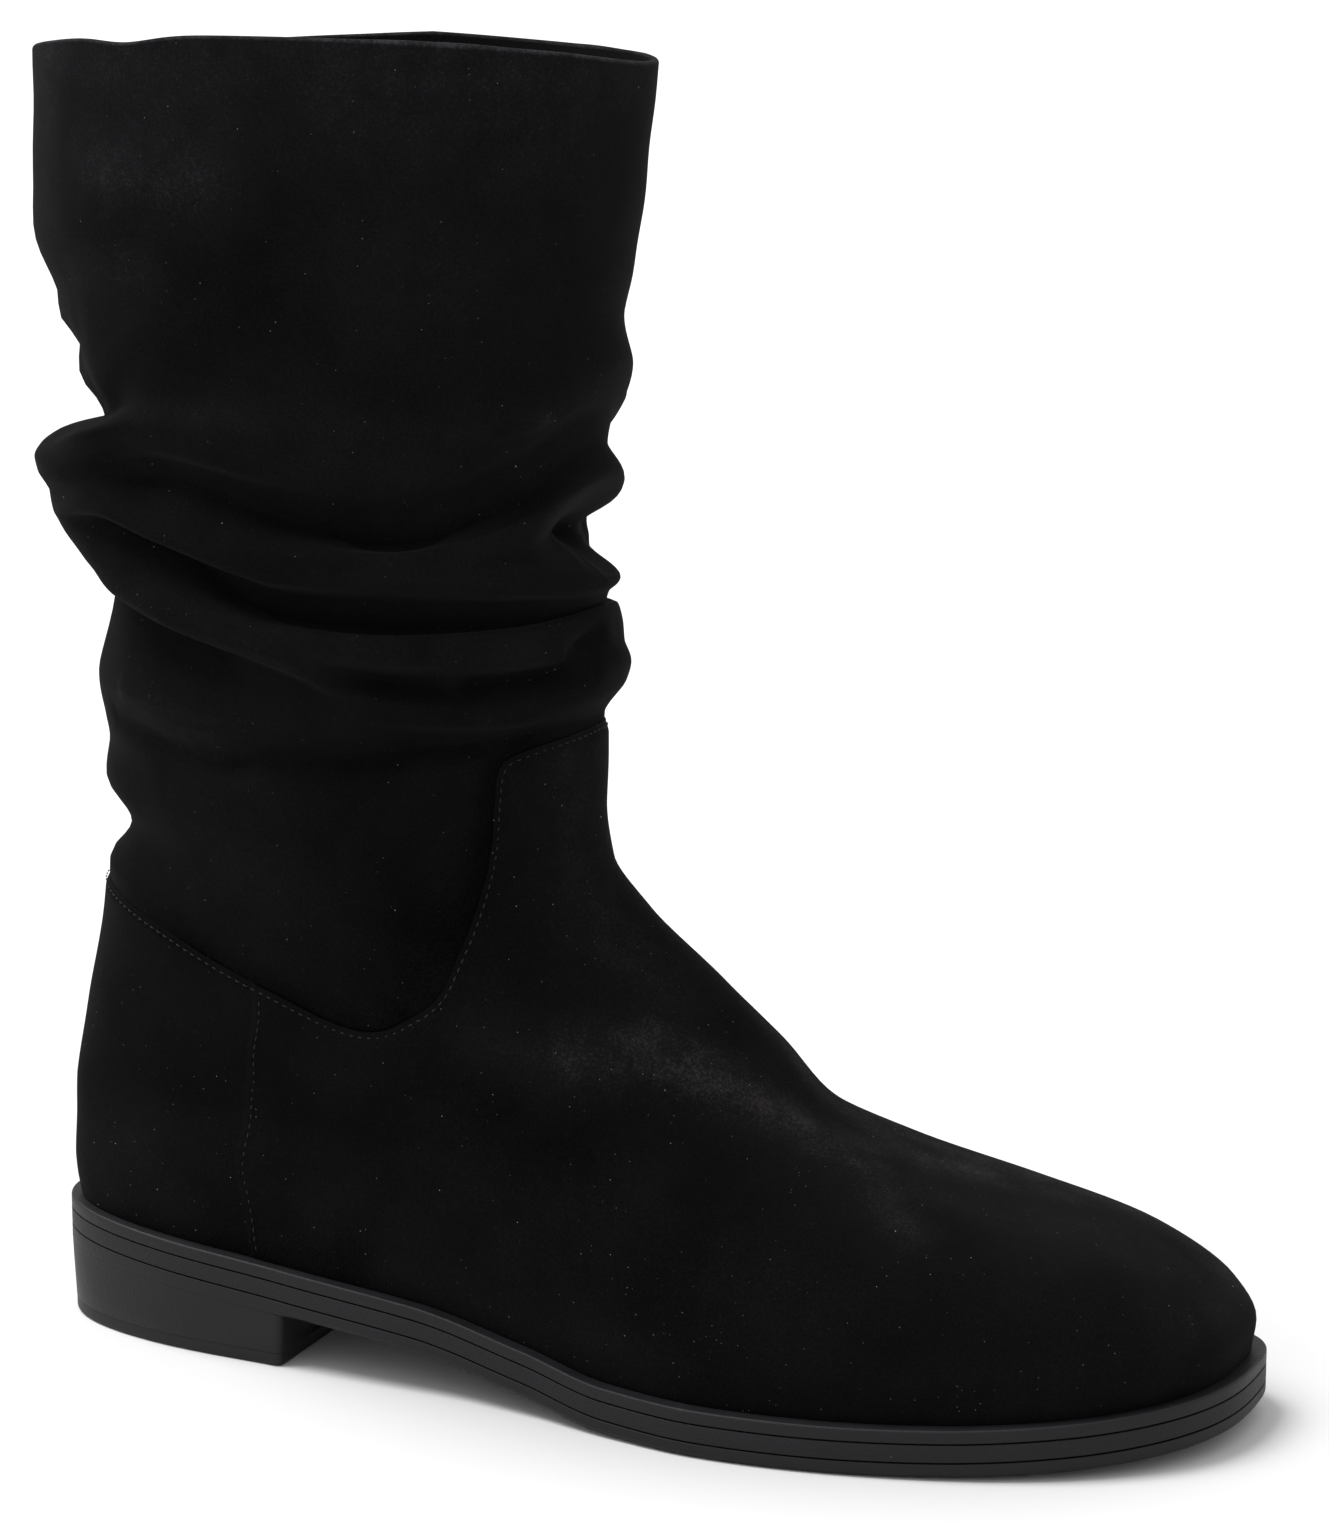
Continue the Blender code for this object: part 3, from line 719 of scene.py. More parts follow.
@dataclass(frozen=True)
class GrainFinish:
    """Moulded rubber, woven lining, sock or thread, told apart by their values."""

    name: str
    dark: Triple
    light: Triple
    grain: float
    dust: float
    bump: float
    roughness: float
    specular: float
    full_shade: float = 1.2
    rough_spread: float = 0.12
    pit_depth: float = 0.0003
    dust_colour: Triple = (0.2, 0.19, 0.18)

    def material(self, grain: bpy.types.NodeTree) -> bpy.types.Material:
        """Principled surface with mottled colour, grain bump and specks of dust."""
        made, hand, surface = new_material(self.name)
        place = hand.add("ShaderNodeTexCoord").outputs["Object"]
        inputs = {"Place": place, "Scale": self.grain, "Dust": self.dust}
        group = hand.add("ShaderNodeGroup", {"node_tree": grain}, **inputs).outputs
        shade = hand.remap(group["Shade"], 0.0, self.full_shade)
        colour = hand.mix(shade, (*self.dark, 1.0), (*self.light, 1.0))
        colour = hand.mix(group["Dust"], colour, (*self.dust_colour, 1.0))
        relief = {"Height": group["Height"], "Strength": self.bump, "Distance": self.pit_depth}
        bump = hand.add("ShaderNodeBump", None, **relief)
        rough = hand.math("MULTIPLY_ADD", shade, self.rough_spread, self.roughness - self.rough_spread / 2)
        hand.fill(surface, Base_Color=colour, Roughness=rough, Normal=bump.outputs[0])
        hand.fill(surface, Specular_IOR_Level=self.specular)
        return made


class Finishes:
    """All finishes of the boot, made once."""

    def __init__(self) -> None:
        """Build the node groups and the materials."""
        nap, grain = SuedeNap().group(), FineGrain().group()
        self.suede = SuedeFinish().material(nap)
        self.warm_suede = SuedeFinish(
            "warm_black_suede", dark=0.0012, light=0.024, dark_tint=(1.055, 0.965, 1.065),
            light_tint=(1.03, 0.955, 1.02), cloud=0.25, lint=0.3, lint_colour=(0.62, 0.60, 0.58),
        ).material(nap)
        self.rubber = GrainFinish(
            "satin_rubber", (0.0046, 0.0040, 0.0050), (0.0082, 0.0071, 0.0088),
            grain=1300.0, dust=0.07, bump=0.35, roughness=0.55, specular=0.26,
        ).material(grain)
        self.grained = GrainFinish(
            "grained_rubber", (0.0050, 0.0044, 0.0054), (0.0092, 0.0080, 0.0098),
            grain=2100.0, dust=0.07, bump=0.75, roughness=0.60, specular=0.26,
        ).material(grain)
        self.lining = GrainFinish(
            "woven_lining", (0.0022, 0.0021, 0.0024), (0.0052, 0.0049, 0.0054),
            grain=1500.0, dust=0.0, bump=0.6, roughness=0.94, specular=0.06,
        ).material(grain)
        self.sock = GrainFinish(
            "insole_sock", (0.0050, 0.0050, 0.0050), (0.0090, 0.0090, 0.0090),
            grain=1600.0, dust=0.02, bump=0.3, roughness=0.85, specular=0.15,
        ).material(grain)
        self.thread = GrainFinish(
            "sewing_thread", (0.0072, 0.0069, 0.0072), (0.0215, 0.0204, 0.0210),
            grain=4000.0, dust=0.0, bump=0.2, roughness=0.75, specular=0.20,
        ).material(grain)


def ring_quads(rows: int, columns: int, close_rows: bool) -> Array:
    """Corner numbers of the quads of a grid that closes round its columns, and round its rows if asked."""
    starts = np.arange(rows if close_rows else rows - 1)
    low, column = np.meshgrid(starts, np.arange(columns), indexing="ij")
    high, after = (low + 1) % rows, (column + 1) % columns
    corners = [low * columns + column, low * columns + after, high * columns + after, high * columns + column]
    return np.stack(corners, axis=-1).reshape(-1, 4)


@dataclass
class Piece:
    """A finished piece: its points in the drawing, its quads, and what it stands for.

    A piece with nap, given point by point, also takes the bands of rubbed-up nap and painted light, less the
    bands of painted shade.
    """

    name: str
    points: Array
    quads: Array
    materials: list[bpy.types.Material]
    slot: Slot
    replaces: str | None = None
    face_material: Array | None = None
    nap: Array | None = None
    least_nap: float = -0.5
    most_nap: float = 1.4
    sharp_angle: float = 50.0

    def build(self) -> bpy.types.Object:
        """Put the piece into the scene.

        Quads that repeat a corner become triangles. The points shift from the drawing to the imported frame.

        Returns:
            The piece's object.
        """
        flat = self.points.reshape(-1, 3)
        corners = self.quads.reshape(-1, 4)
        repeat = corners == np.roll(corners, -1, axis=1)
        sizes = 4 - repeat.sum(axis=1)
        mesh = bpy.data.meshes.new(self.name)
        mesh.vertices.add(len(flat))
        mesh.vertices.foreach_set("co", ((flat - (HEEL_CENTRE, 0.0, 0.0)) * MM).astype(np.float32).ravel())
        loops = corners[~repeat]
        mesh.loops.add(len(loops))
        mesh.loops.foreach_set("vertex_index", loops.astype(np.int32))
        mesh.polygons.add(len(corners))
        starts = np.concatenate([[0], np.cumsum(sizes)[:-1]])
        mesh.polygons.foreach_set("loop_start", starts.astype(np.int32))
        mesh.polygons.foreach_set("loop_total", sizes.astype(np.int32))
        for material in self.materials:
            mesh.materials.append(material)
        if self.face_material is not None:
            mesh.polygons.foreach_set("material_index", self.face_material.astype(np.int32).ravel())
        if self.nap is not None:
            # rubbed-up nap and painted light lighten the suede, painted shade darkens it
            amount = BRUSHED_NAP_AND_PAINTED_LIGHT.amount(flat) + self.nap.ravel() - PAINTED_SHADE.amount(flat)
            layer = mesh.attributes.new(NAP_AND_SHADING_LAYER, "FLOAT", "POINT")
            amount = np.clip(amount, self.least_nap, self.most_nap)
            layer.data.foreach_set("value", amount.astype(np.float32))
        mesh.update(calc_edges=True)
        mesh.validate()
        mesh.shade_smooth()
        mesh.set_sharp_from_angle(angle=np.radians(self.sharp_angle))
        made = bpy.data.objects.new(self.name, mesh)
        bpy.context.scene.collection.objects.link(made)
        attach(made, BODY)
        if self.replaces:
            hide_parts(self.replaces)
        LOG.info("%s: %d points, %d faces", self.name, len(flat), len(corners))
        return made


@dataclass(frozen=True)
class Ripple:
    """Faint unevenness of suede: the product of two sine waves that run aslant to each other.

    Each wave has its own speed round the boot and up it; the second runs round backwards.
    """

    height: float
    around: float
    upward: float
    back_around: float
    back_upward: float

    def relief(self, turn: Array, level: Array) -> Array:
        """How far the surface stands out at places given by turn and level."""
        first = np.sin(turn * self.around + level * self.upward)
        return self.height * first * np.sin(level * self.back_upward - turn * self.back_around)


@dataclass(frozen=True)
class SuedeWall:
    """Hollow wall with rounded rims: suede outside and on the rims, lining inside."""

    outside: Array
    inside: Array
    inner_rows: int
    rim_steps: int = 5

    def rim(self, edge: int, before: int) -> Array:
        """Rounded rim at an edge row; before is the row next to it.

        It is half an ellipse from the outer sheet's edge to the inner one's, bulging away from the sheets by
        half the distance between them.
        """
        angle = (np.pi * np.arange(1, self.rim_steps + 1) / (self.rim_steps + 1))[:, None, None]
        away = unit(self.outside[edge] - self.outside[before])
        reach = (self.outside[edge] - self.inside[edge]) / 2
        rise = np.linalg.norm(reach, axis=-1, keepdims=True)
        return self.inside[edge] + reach * (1 + np.cos(angle)) + away * np.sin(angle) * rise

    def piece(
        self, name: str, node: str, materials: list[bpy.types.Material], nap: float | Array, rim_nap: float
    ) -> Piece:
        """Wall as a piece.

        Args:
            name: name of the piece.
            node: solid that it stands for.
            materials: suede and lining.
            nap: how far the outer sheet's nap is raised, in all or point by point; below nought it is painted
                shade.
            rim_nap: the same for the top rim.

        Returns:
            The piece.
        """
        rows = len(self.outside)
        keep = np.unique(np.linspace(0, rows - 1, self.inner_rows).astype(int))
        within = self.inside[keep[::-1]]
        closed = np.concatenate([self.outside, self.rim(-1, -2), within, self.rim(0, 1)[::-1]])
        first = rows + self.rim_steps
        lining = np.zeros(closed.shape[:2], dtype=bool)
        lining[first : first + len(keep) - 1] = True
        lift_and_painted_shading = np.zeros(closed.shape[:2])
        lift_and_painted_shading[:rows] = nap
        lift_and_painted_shading[rows:first] = rim_nap
        quads = ring_quads(*closed.shape[:2], True)
        return Piece(name, closed, quads, materials, Slot.SUEDE, node, lining, lift_and_painted_shading)


@dataclass(frozen=True)
class Stitching:
    """Rows of stitches, each a small six-sided spindle that sinks at both ends."""

    pitch: float = 1.95
    length: float = 1.28
    breadth: float = 0.16
    height: float = 0.15
    arch: float = 0.22
    sink: float = 0.12
    thinnest: float = 0.02
    glance: float = 0.2
    rings: int = 5
    sides: int = 6

    def stitch(self) -> tuple[Array, Array]:
        """One stitch: points along, across and up from the seam, and quads.

        Its half breadth follows the square root of a sine along its length.
        """
        share = np.linspace(0.0, 1.0, self.rings)[:, None]
        swell = np.sin(np.pi * share)
        girth = np.sqrt(np.clip(swell, self.thinnest, 1.0))
        angle = 2 * np.pi * np.arange(self.sides) / self.sides
        along = np.broadcast_to((share - 0.5) * self.length, (self.rings, self.sides))
        upward = girth * self.height * np.sin(angle) + self.arch * swell - self.sink
        points = np.stack([along, girth * self.breadth * np.cos(angle), upward], axis=-1)
        near_end = np.array([[0, 5, 4, 1], [1, 4, 3, 2]])
        far_end = np.array([[0, 1, 4, 5], [1, 2, 3, 4]]) + (self.rings - 1) * self.sides
        quads = np.vstack([ring_quads(self.rings, self.sides, False), near_end, far_end])
        return points.reshape(-1, 3), quads[:, ::-1]

    def row(self, name: str, path: Array, normals: Array, closed: bool, thread: bpy.types.Material) -> Piece:
        """Row of stitches along a seam, each the same stitch placed by the seam's own directions.

        Args:
            name: name of the piece.
            path: points of the seam.
            normals: surface normals there.
            closed: whether the seam runs round into itself.
            thread: finish of the thread.

        Returns:
            The piece.
        """
        if closed:
            path, normals = np.vstack([path, path[:1]]), np.vstack([normals, normals[:1]])
        run = np.concatenate([[0.0], np.cumsum(np.linalg.norm(np.diff(path, axis=0), axis=1))])
        count = int(run[-1] / self.pitch)
        at = (np.arange(count) + 0.5) * run[-1] / count

        def along(values: Array, where: Array) -> Array:
            """Values read at distances along the seam."""
            return np.stack([np.interp(where, run, values[:, axis]) for axis in range(3)], axis=-1)

        ahead = unit(along(path, at + self.glance) - along(path, at - self.glance))
        up = unit(along(normals, at))
        local, quads = self.stitch()
        points = along(path, at)[:, None]
        for axis, way in enumerate((ahead, np.cross(up, ahead), up)):
            points = points + local[:, axis : axis + 1] * way[:, None]
        every = quads + (np.arange(count) * len(local))[:, None, None]
        return Piece(name, points, every, [thread], Slot.SUEDE)


@dataclass
class Upper:
    """Foot part: vamp with its tab, quarters and heel counter in one suede wall."""

    wall: float = 1.2
    edge_wall: float = 0.25
    skive: float = 5.0
    counter_step: float = 0.35
    counter_row: float = 4.0
    edge_behind: float = 0.05
    seam_breadth: float = 0.05
    edge_roll: float = 0.6
    roll_reach: float = 2.6
    ripple: Ripple = Ripple(0.16, 7.0, 0.11, 3.0, 0.17)
    ripple_rise: float = 12.0
    columns_a_row: int = 11
    seam_places: tuple[float, ...] = (-1.0, -0.5, -0.2, 0.2, 0.5)
    rows: int = 110
    row_crowding: float = 1.3
    inner_rows: int = 26
    stitch_inset: float = 1.05
    seam_start: float = 0.02
    seam_end: float = 0.965
    seam_points: int = 200
    stitching: Stitching = Stitching()

    @property
    def strokes(self) -> tuple[Stroke, ...]:
        """Soft ridges and hollows of the vamp break and the ankle, by turn and level."""
        return (
            Stroke((130.0, 82.0), (152.0, 79.0), 0.8, 3.2),
            Stroke((152.0, 79.0), (168.0, 70.0), 0.8, 3.4),
            Stroke((124.0, 76.0), (150.0, 72.5), -0.7, 4.0),
            Stroke((150.0, 88.0), (172.0, 83.0), -0.6, 5.0),
            Stroke((166.0, 65.0), (180.0, 62.0), 0.5, 3.0),
            Stroke((92.0, 52.0), (118.0, 46.0), -0.6, 9.0),
            Stroke((30.0, 60.0), (30.0, 44.0), -0.5, 9.0),
            Stroke((180.0, 112.0), (180.0, 84.0), 1.2, 13.0, 1.0, 1.0),
            Stroke((0.0, 52.0), (0.0, 34.0), -1.3, 14.0, 1.0, 1.0),
        )

    def places(self) -> Array:
        """Column places between the throat's rows, with extra ones close to the counter's seam."""
        last = len(THROAT.rows["level"]) - 1
        even = np.linspace(0.0, last, last * self.columns_a_row + 1)
        beside = self.seam_breadth * np.array(self.seam_places)
        return np.unique(np.concatenate([even, self.counter_row - self.edge_behind + beside]))

    def behind(self, place: Array) -> Array:
        """How far columns lie on the counter's side of its seam: 1 on the counter, 0 on the quarter."""
        both = np.concatenate([place, place[-2:0:-1]])
        return ease((self.counter_row - self.edge_behind - both) / self.seam_breadth + 0.5)

    def rolled(self, below: float | Array) -> Array:
        """How far the throat edge is rolled in, by the distance below it."""
        return self.edge_roll * ease(1 - below / self.roll_reach)

    def sheet(self, place: Array, climb: Array) -> tuple[Array, Array]:
        """Outer sheet: the form, set in on the counter, rolled in at the throat, with soft strokes on it.

        Args:
            place: column places between the throat's rows.
            climb: rising shares of the way from the feather line to the throat edge, as a column.

        Returns:
            Grid of points, rows from bottom to top, and how far each lies below the throat edge.
        """
        turn, level = THROAT.path(*THROAT.columns(place), climb)
        push = sum(stroke.relief(turn, level) for stroke in self.strokes)
        rising = ease((level - THROAT.foot_level) / self.ripple_rise)
        push = push + self.ripple.relief(turn, level) * rising
        push = push - self.behind(place) * self.counter_step
        below = np.abs(THROAT.above(turn, level))
        push = push - self.rolled(below)
        return FORM.surface(turn, level) + FORM.normal(turn, level) * push[..., None], below

    def build(self, finishes: Finishes) -> list[Piece]:
        """Make the wall and its seams' stitches."""
        climb = 1 - (1 - np.linspace(0.0, 1.0, self.rows)[:, None]) ** self.row_crowding
        outside, below = self.sheet(self.places(), climb)
        thick = self.edge_wall + (self.wall - self.edge_wall) * ease(below / self.skive)
        inside = outside - grid_normals(outside) * thick[..., None]
        materials = [finishes.warm_suede, finishes.lining]
        wall = SuedeWall(outside, inside, self.inner_rows).piece("upper_suede", "upper", materials, 0.0, 0.0)
        return [wall, *self.stitches(finishes.thread)]

    def stitches(self, thread: bpy.types.Material) -> list[Piece]:
        """Stitch rows just under the throat edge and down both counter seams."""
        points, normals = THROAT.seam(self.stitch_inset)
        points = points - normals * self.rolled(self.stitch_inset)
        made = [self.stitching.row("throat_stitches", points, normals, True, thread)]
        climb = np.linspace(self.seam_start, self.seam_end, self.seam_points)
        turn, level = THROAT.path(*THROAT.columns(np.array([self.counter_row])), climb)
        for side in Side:
            way = turn if side is Side.LATERAL else 2 * np.pi - turn
            name = f"counter_stitches_{side.name.lower()}"
            seam = FORM.surface(way, level), FORM.normal(way, level)
            made.append(self.stitching.row(name, *seam, False, thread))
        return made


@dataclass
class Shaft:
    """Leg of the boot: a slouched suede tube with its folds, tucked inside the upper's edge."""

    wall: float = 1.5
    tuck: float = 0.9
    tuck_lean: float = 0.25
    tuck_rise: float = 8.0
    medial_drop: float = 3.0
    medial_share: float = 0.8
    collar_rise: float = 5.0
    collar_arch: float = 1.2
    collar_from: float = 215.0
    collar_dip: float = 1.3
    dip_turn: float = 66.0
    dip_breadth: float = 9.0
    medial_rise: float = 1.7
    medial_sag: float = 2.6
    rim_nap: float = 1.3
    collar_nap: float = 0.32
    collar_reach: float = 9.0
    painted_seam_shadow: float = 0.42
    seam_reach: float = 5.0
    ripple: Ripple = Ripple(0.22, 5.0, 0.21, 2.0, 0.13)
    columns: int = 352
    first_fold: int = 4
    last_fold: int = 22
    fold_steps: int = 8
    plain_steps: int = 5
    rows_close_by: int = 6
    rows_a_lining_row: int = 3

    @property
    def stations(self) -> Array:
        """Turns at which the fold lines are given, from the back to the front."""
        return np.radians([0.0, 30.0, 50.0, 70.0, 95.0, 120.0, 150.0, 180.0])

    @property
    def heights(self) -> Table:
        """Heights of the lines round the shaft at each station, from the tucked hem up to the collar."""
        return table(
            "t0 t30 t50 t70 t95 t120 t150 t180",
            (82.0, 79.0, 74.0, 69.0, 69.0, 72.0, 92.0, 112.0),
            (97.0, 96.0, 92.0, 87.0, 86.0, 88.0, 104.0, 119.0),
            (108.0, 107.0, 104.5, 102.0, 99.5, 99.0, 112.0, 124.0),
            (118.0, 117.0, 115.0, 112.0, 110.5, 110.0, 120.0, 128.0),
            (126.0, 125.0, 123.5, 121.5, 122.5, 125.0, 128.5, 131.0),
            (131.0, 130.5, 129.0, 127.5, 128.5, 131.0, 132.3, 133.0),
            (139.5, 139.0, 137.5, 134.5, 135.5, 134.5, 134.2, 135.0),
            (157.0, 157.3, 156.5, 152.3, 145.5, 137.5, 136.7, 138.0),
            (160.5, 160.8, 159.0, 154.6, 148.6, 141.5, 140.0, 145.5),
            (163.0, 163.5, 161.8, 157.5, 151.8, 145.5, 144.5, 150.5),
            (165.5, 166.0, 164.6, 161.5, 155.0, 151.0, 150.5, 153.5),
            (168.0, 168.5, 167.8, 165.0, 157.3, 155.8, 155.8, 157.0),
            (169.5, 171.0, 173.5, 169.8, 156.6, 154.3, 155.2, 156.6),
            (170.5, 172.5, 174.3, 170.8, 162.5, 160.5, 160.0, 159.0),
            (172.0, 174.0, 175.7, 171.8, 166.0, 165.0, 163.0, 161.5),
            (174.0, 176.0, 177.5, 173.5, 169.0, 168.3, 168.0, 167.0),
            (176.0, 178.0, 179.0, 176.0, 171.5, 170.4, 171.0, 171.5),
            (177.8, 179.0, 181.0, 180.0, 174.0, 172.2, 177.6, 184.0),
            (181.7, 182.0, 183.0, 184.0, 178.0, 170.8, 180.5, 190.5),
            (184.3, 184.3, 185.0, 187.0, 182.5, 178.0, 187.5, 195.5),
            (186.3, 186.6, 187.6, 190.4, 187.2, 185.0, 193.0, 201.5),
            (188.3, 188.6, 191.5, 195.0, 194.0, 193.5, 199.5, 206.5),
            (191.0, 191.6, 195.0, 201.0, 203.0, 204.0, 211.5, 216.5),
            (203.0, 203.5, 204.0, 211.0, 214.0, 215.0, 220.0, 226.0),
            (217.0, 217.0, 219.0, 222.0, 224.5, 226.0, 231.0, 236.0),
            (229.0, 231.0, 234.0, 237.0, 238.5, 240.0, 243.0, 246.0),
            (248.0, 249.0, 251.0, 252.5, 253.5, 254.0, 255.0, 256.0),
            (263.4, 263.9, 264.3, 264.6, 264.6, 264.5, 264.2, 263.5),
        )

    @property
    def standing(self) -> Table:
        """How far each line stands out of the form at each station: crests above 0, troughs below."""
        return table(
            "t0 t30 t50 t70 t95 t120 t150 t180",
            (0.0, 0.0, 0.0, 0.0, 0.0, 0.0, 0.0, 0.0),
            (0.0, 0.0, 0.0, 0.0, 0.0, 0.0, 0.0, 0.0),
            (-4.5, -4.2, -3.0, -1.2, -0.5, 0.0, 0.0, 0.0),
            (0.3, 0.3, 0.3, 0.3, 0.3, 0.3, 0.2, 0.0),
            (-1.0, -1.0, -0.5, 0.3, 1.0, 1.5, 1.0, 0.3),
            (-0.5, -0.5, -0.8, -1.8, -3.0, -3.4, -1.0, 0.5),
            (0.5, 0.5, 1.2, 0.8, -0.8, -1.8, 0.5, 2.0),
            (-4.5, -4.0, -3.5, -2.6, -0.8, 1.0, 2.8, 3.0),
            (-4.5, -2.5, 2.2, 3.6, 2.7, 2.3, 4.0, 5.0),
            (-3.0, -0.5, 3.5, 5.0, 5.0, -2.2, 3.4, 3.2),
            (0.0, 2.0, 3.5, 4.0, 5.0, 4.0, 3.6, 2.6),
            (2.5, 3.2, 2.2, 1.0, 3.6, 3.6, 2.4, 0.6),
            (3.5, 4.0, -0.5, -3.2, -3.6, -3.9, -2.3, -0.3),
            (4.5, 4.3, 0.0, -3.0, -2.4, -2.2, -1.2, 0.4),
            (5.0, 4.8, 4.0, 3.2, 3.0, 2.8, 2.8, 2.4),
            (5.3, 5.0, 5.0, 4.4, 4.5, 4.5, 2.8, -3.0),
            (5.5, 5.0, 4.8, 3.6, 4.2, 4.8, 1.0, -9.0),
            (6.0, 5.4, 4.6, 0.5, 2.8, 3.8, 3.0, 1.8),
            (7.0, 7.0, 4.2, -3.0, -3.8, -4.7, -3.0, -1.2),
            (7.2, 7.2, 4.4, -2.1, -2.6, -4.0, -2.2, -0.6),
            (5.8, 5.8, 4.6, 1.8, 1.8, 1.0, 1.2, 1.6),
            (2.4, 2.6, 3.8, 3.0, 2.5, 2.3, 2.2, 2.6),
            (-8.5, -7.8, -4.5, 0.3, 0.0, 0.0, -0.3, -0.5),
            (-4.5, -4.3, -1.0, 0.2, 0.3, 0.5, 0.4, 0.3),
            (-2.2, -2.0, -1.0, -1.0, -0.5, 0.0, 0.3, 0.5),
            (0.5, 0.4, 0.2, 0.0, 0.0, 0.0, 0.2, 0.5),
            (0.0, 0.0, 0.0, 0.0, 0.0, 0.0, 0.3, 0.7),
            (0.0, 0.0, 0.0, 0.0, 0.0, 0.0, 0.5, 1.0),
        )

    @property
    def strokes(self) -> tuple[Stroke, ...]:
        """Small creases and broad soft dents, by turn and height."""
        return (
            Stroke((135.0, 194.0), (156.0, 196.5), 1.1, 1.6),
            Stroke((48.0, 139.5), (78.0, 134.0), 1.9, 1.9),
            Stroke((40.0, 132.0), (66.0, 129.0), -1.3, 3.0),
            Stroke((178.0, 170.8), (140.0, 169.8), -6.2, 3.6, 0.0, 1.0),
            Stroke((178.0, 166.4), (140.0, 165.4), -5.4, 3.2, 0.0, 1.0),
            Stroke((136.0, 145.0), (165.0, 145.5), -5.5, 2.6, 1.0, 0.0),
            Stroke((38.0, 190.5), (64.0, 195.5), 1.0, 1.8),
            Stroke((10.0, 212.0), (40.0, 213.0), 1.2, 2.6),
            Stroke((10.0, 206.0), (36.0, 206.5), -1.0, 2.0),
            Stroke((10.0, 198.5), (34.0, 199.5), 1.6, 3.5),
            Stroke((162.0, 150.5), (174.0, 152.0), -2.4, 2.0, 1.0, 0.0),
            Stroke((60.0, 245.0), (84.0, 246.0), 0.8, 9.0),
            Stroke((55.0, 222.0), (70.0, 225.0), 0.8, 6.0),
            Stroke((80.0, 231.0), (110.0, 229.0), -1.0, 7.0),
            Stroke((122.0, 250.0), (134.0, 244.0), -1.1, 9.0),
            Stroke((142.0, 232.0), (156.0, 226.0), -1.0, 8.0),
            Stroke((100.0, 214.0), (130.0, 212.0), 0.6, 6.0),
            Stroke((70.0, 206.0), (100.0, 203.0), -0.5, 5.0),
            Stroke((60.0, 118.0), (84.0, 112.0), 0.6, 5.0),
            Stroke((96.0, 116.0), (126.0, 121.0), -0.5, 4.0),
        )

    def lines(self, turn: Array, place: Array) -> tuple[Array, Array]:
        """Level and stand-out at places between the lines.

        Both are monotone cubics round the stations, in half cosines of the turn, and again up the lines. The
        medial side hangs a little lower and folds less, and the collar rises at both sides, with a dip.

        Args:
            turn: angles round the shaft.
            place: places between the lines, from the hem up.

        Returns:
            Two grids, rows by place.
        """
        share = (1 - np.cos(half_turn(turn))) / 2
        knots = (1 - np.cos(self.stations)) / 2
        medial = np.clip(-np.sin(turn), 0.0, 1.0)
        lateral = np.clip(np.sin(turn), 0.0, 1.0)
        line = np.arange(len(self.heights["t0"]), dtype=float)
        level = smooth(line, smooth(knots, np.stack(list(self.heights.values())), share).T, place)
        out = smooth(line, smooth(knots, np.stack(list(self.standing.values())), share).T, place)
        level -= self.medial_drop * medial * np.sin(np.pi * place / line[-1])[:, None]
        rising = ease((level - self.collar_from) / (level.max() - self.collar_from))
        dip = self.collar_dip * np.exp(-(((np.degrees(turn) - self.dip_turn) / self.dip_breadth) ** 2))
        sag = self.medial_sag * medial**2 * np.abs(np.cos(turn))
        rise = self.collar_rise * lateral**self.collar_arch + self.medial_rise * medial**2
        level += (rise - dip - sag) * rising
        return level, out * (1 - (1 - self.medial_share) * medial)

    def sheets(self) -> tuple[Array, Array, Array]:
        """Outer and inner sheets.

        The outer one is the form pushed out along its normals by the lines and strokes, and tucked in below
        the upper's edge. The inner one is the form pushed by the least push of the rows close by, less the
        wall.

        Returns:
            Two grids, rows from the hem up, and how far the outer one's places are above the upper's edge.
        """
        turn = np.linspace(0.0, 2 * np.pi, self.columns, endpoint=False)
        line = np.arange(len(self.heights["t0"]) - 1)
        folded = (line >= self.first_fold) & (line < self.last_fold)
        steps = np.where(folded, self.fold_steps, self.plain_steps)
        place = np.concatenate([np.arange(count) / count + first for first, count in enumerate(steps)])
        level, out = self.lines(turn, np.append(place, float(len(line))))
        turn = np.broadcast_to(turn, level.shape)
        above = THROAT.above(turn, level)
        free = ease(above / self.tuck_rise)
        out = out + sum(stroke.relief(turn, level) for stroke in self.strokes)
        out = out + self.ripple.relief(turn, level)
        push = out * free - (self.tuck + self.tuck_lean * np.clip(-above, 0.0, None)) * (1 - free)
        base, normal = FORM.surface(turn, level), FORM.normal(turn, level)
        padded = np.pad(push, ((self.rows_close_by, self.rows_close_by), (0, 0)), mode="edge")
        shifts = range(2 * self.rows_close_by + 1)
        least = np.min([padded[first : first + len(push)] for first in shifts], axis=0)
        return base + normal * push[..., None], base + normal * (least - self.wall)[..., None], above

    def build(self, finishes: Finishes) -> list[Piece]:
        """Make the tube with its lining; its nap is raised at the collar, and a painted shadow darkens it
        just above the upper's edge.
        """
        outside, inside, above = self.sheets()
        below = (outside[-1] - outside)[..., 2]
        nap = self.collar_nap * np.exp(-((below / self.collar_reach) ** 2))
        # painted shadow: darker just above the upper's edge, fading out over the seam reach
        nap -= self.painted_seam_shadow * np.exp(-((above.clip(min=0.0) / self.seam_reach) ** 2))
        wall = SuedeWall(outside, inside, len(outside) // self.rows_a_lining_row)
        return [wall.piece("shaft_suede", "shaft", [finishes.suede, finishes.lining], nap, self.rim_nap)]


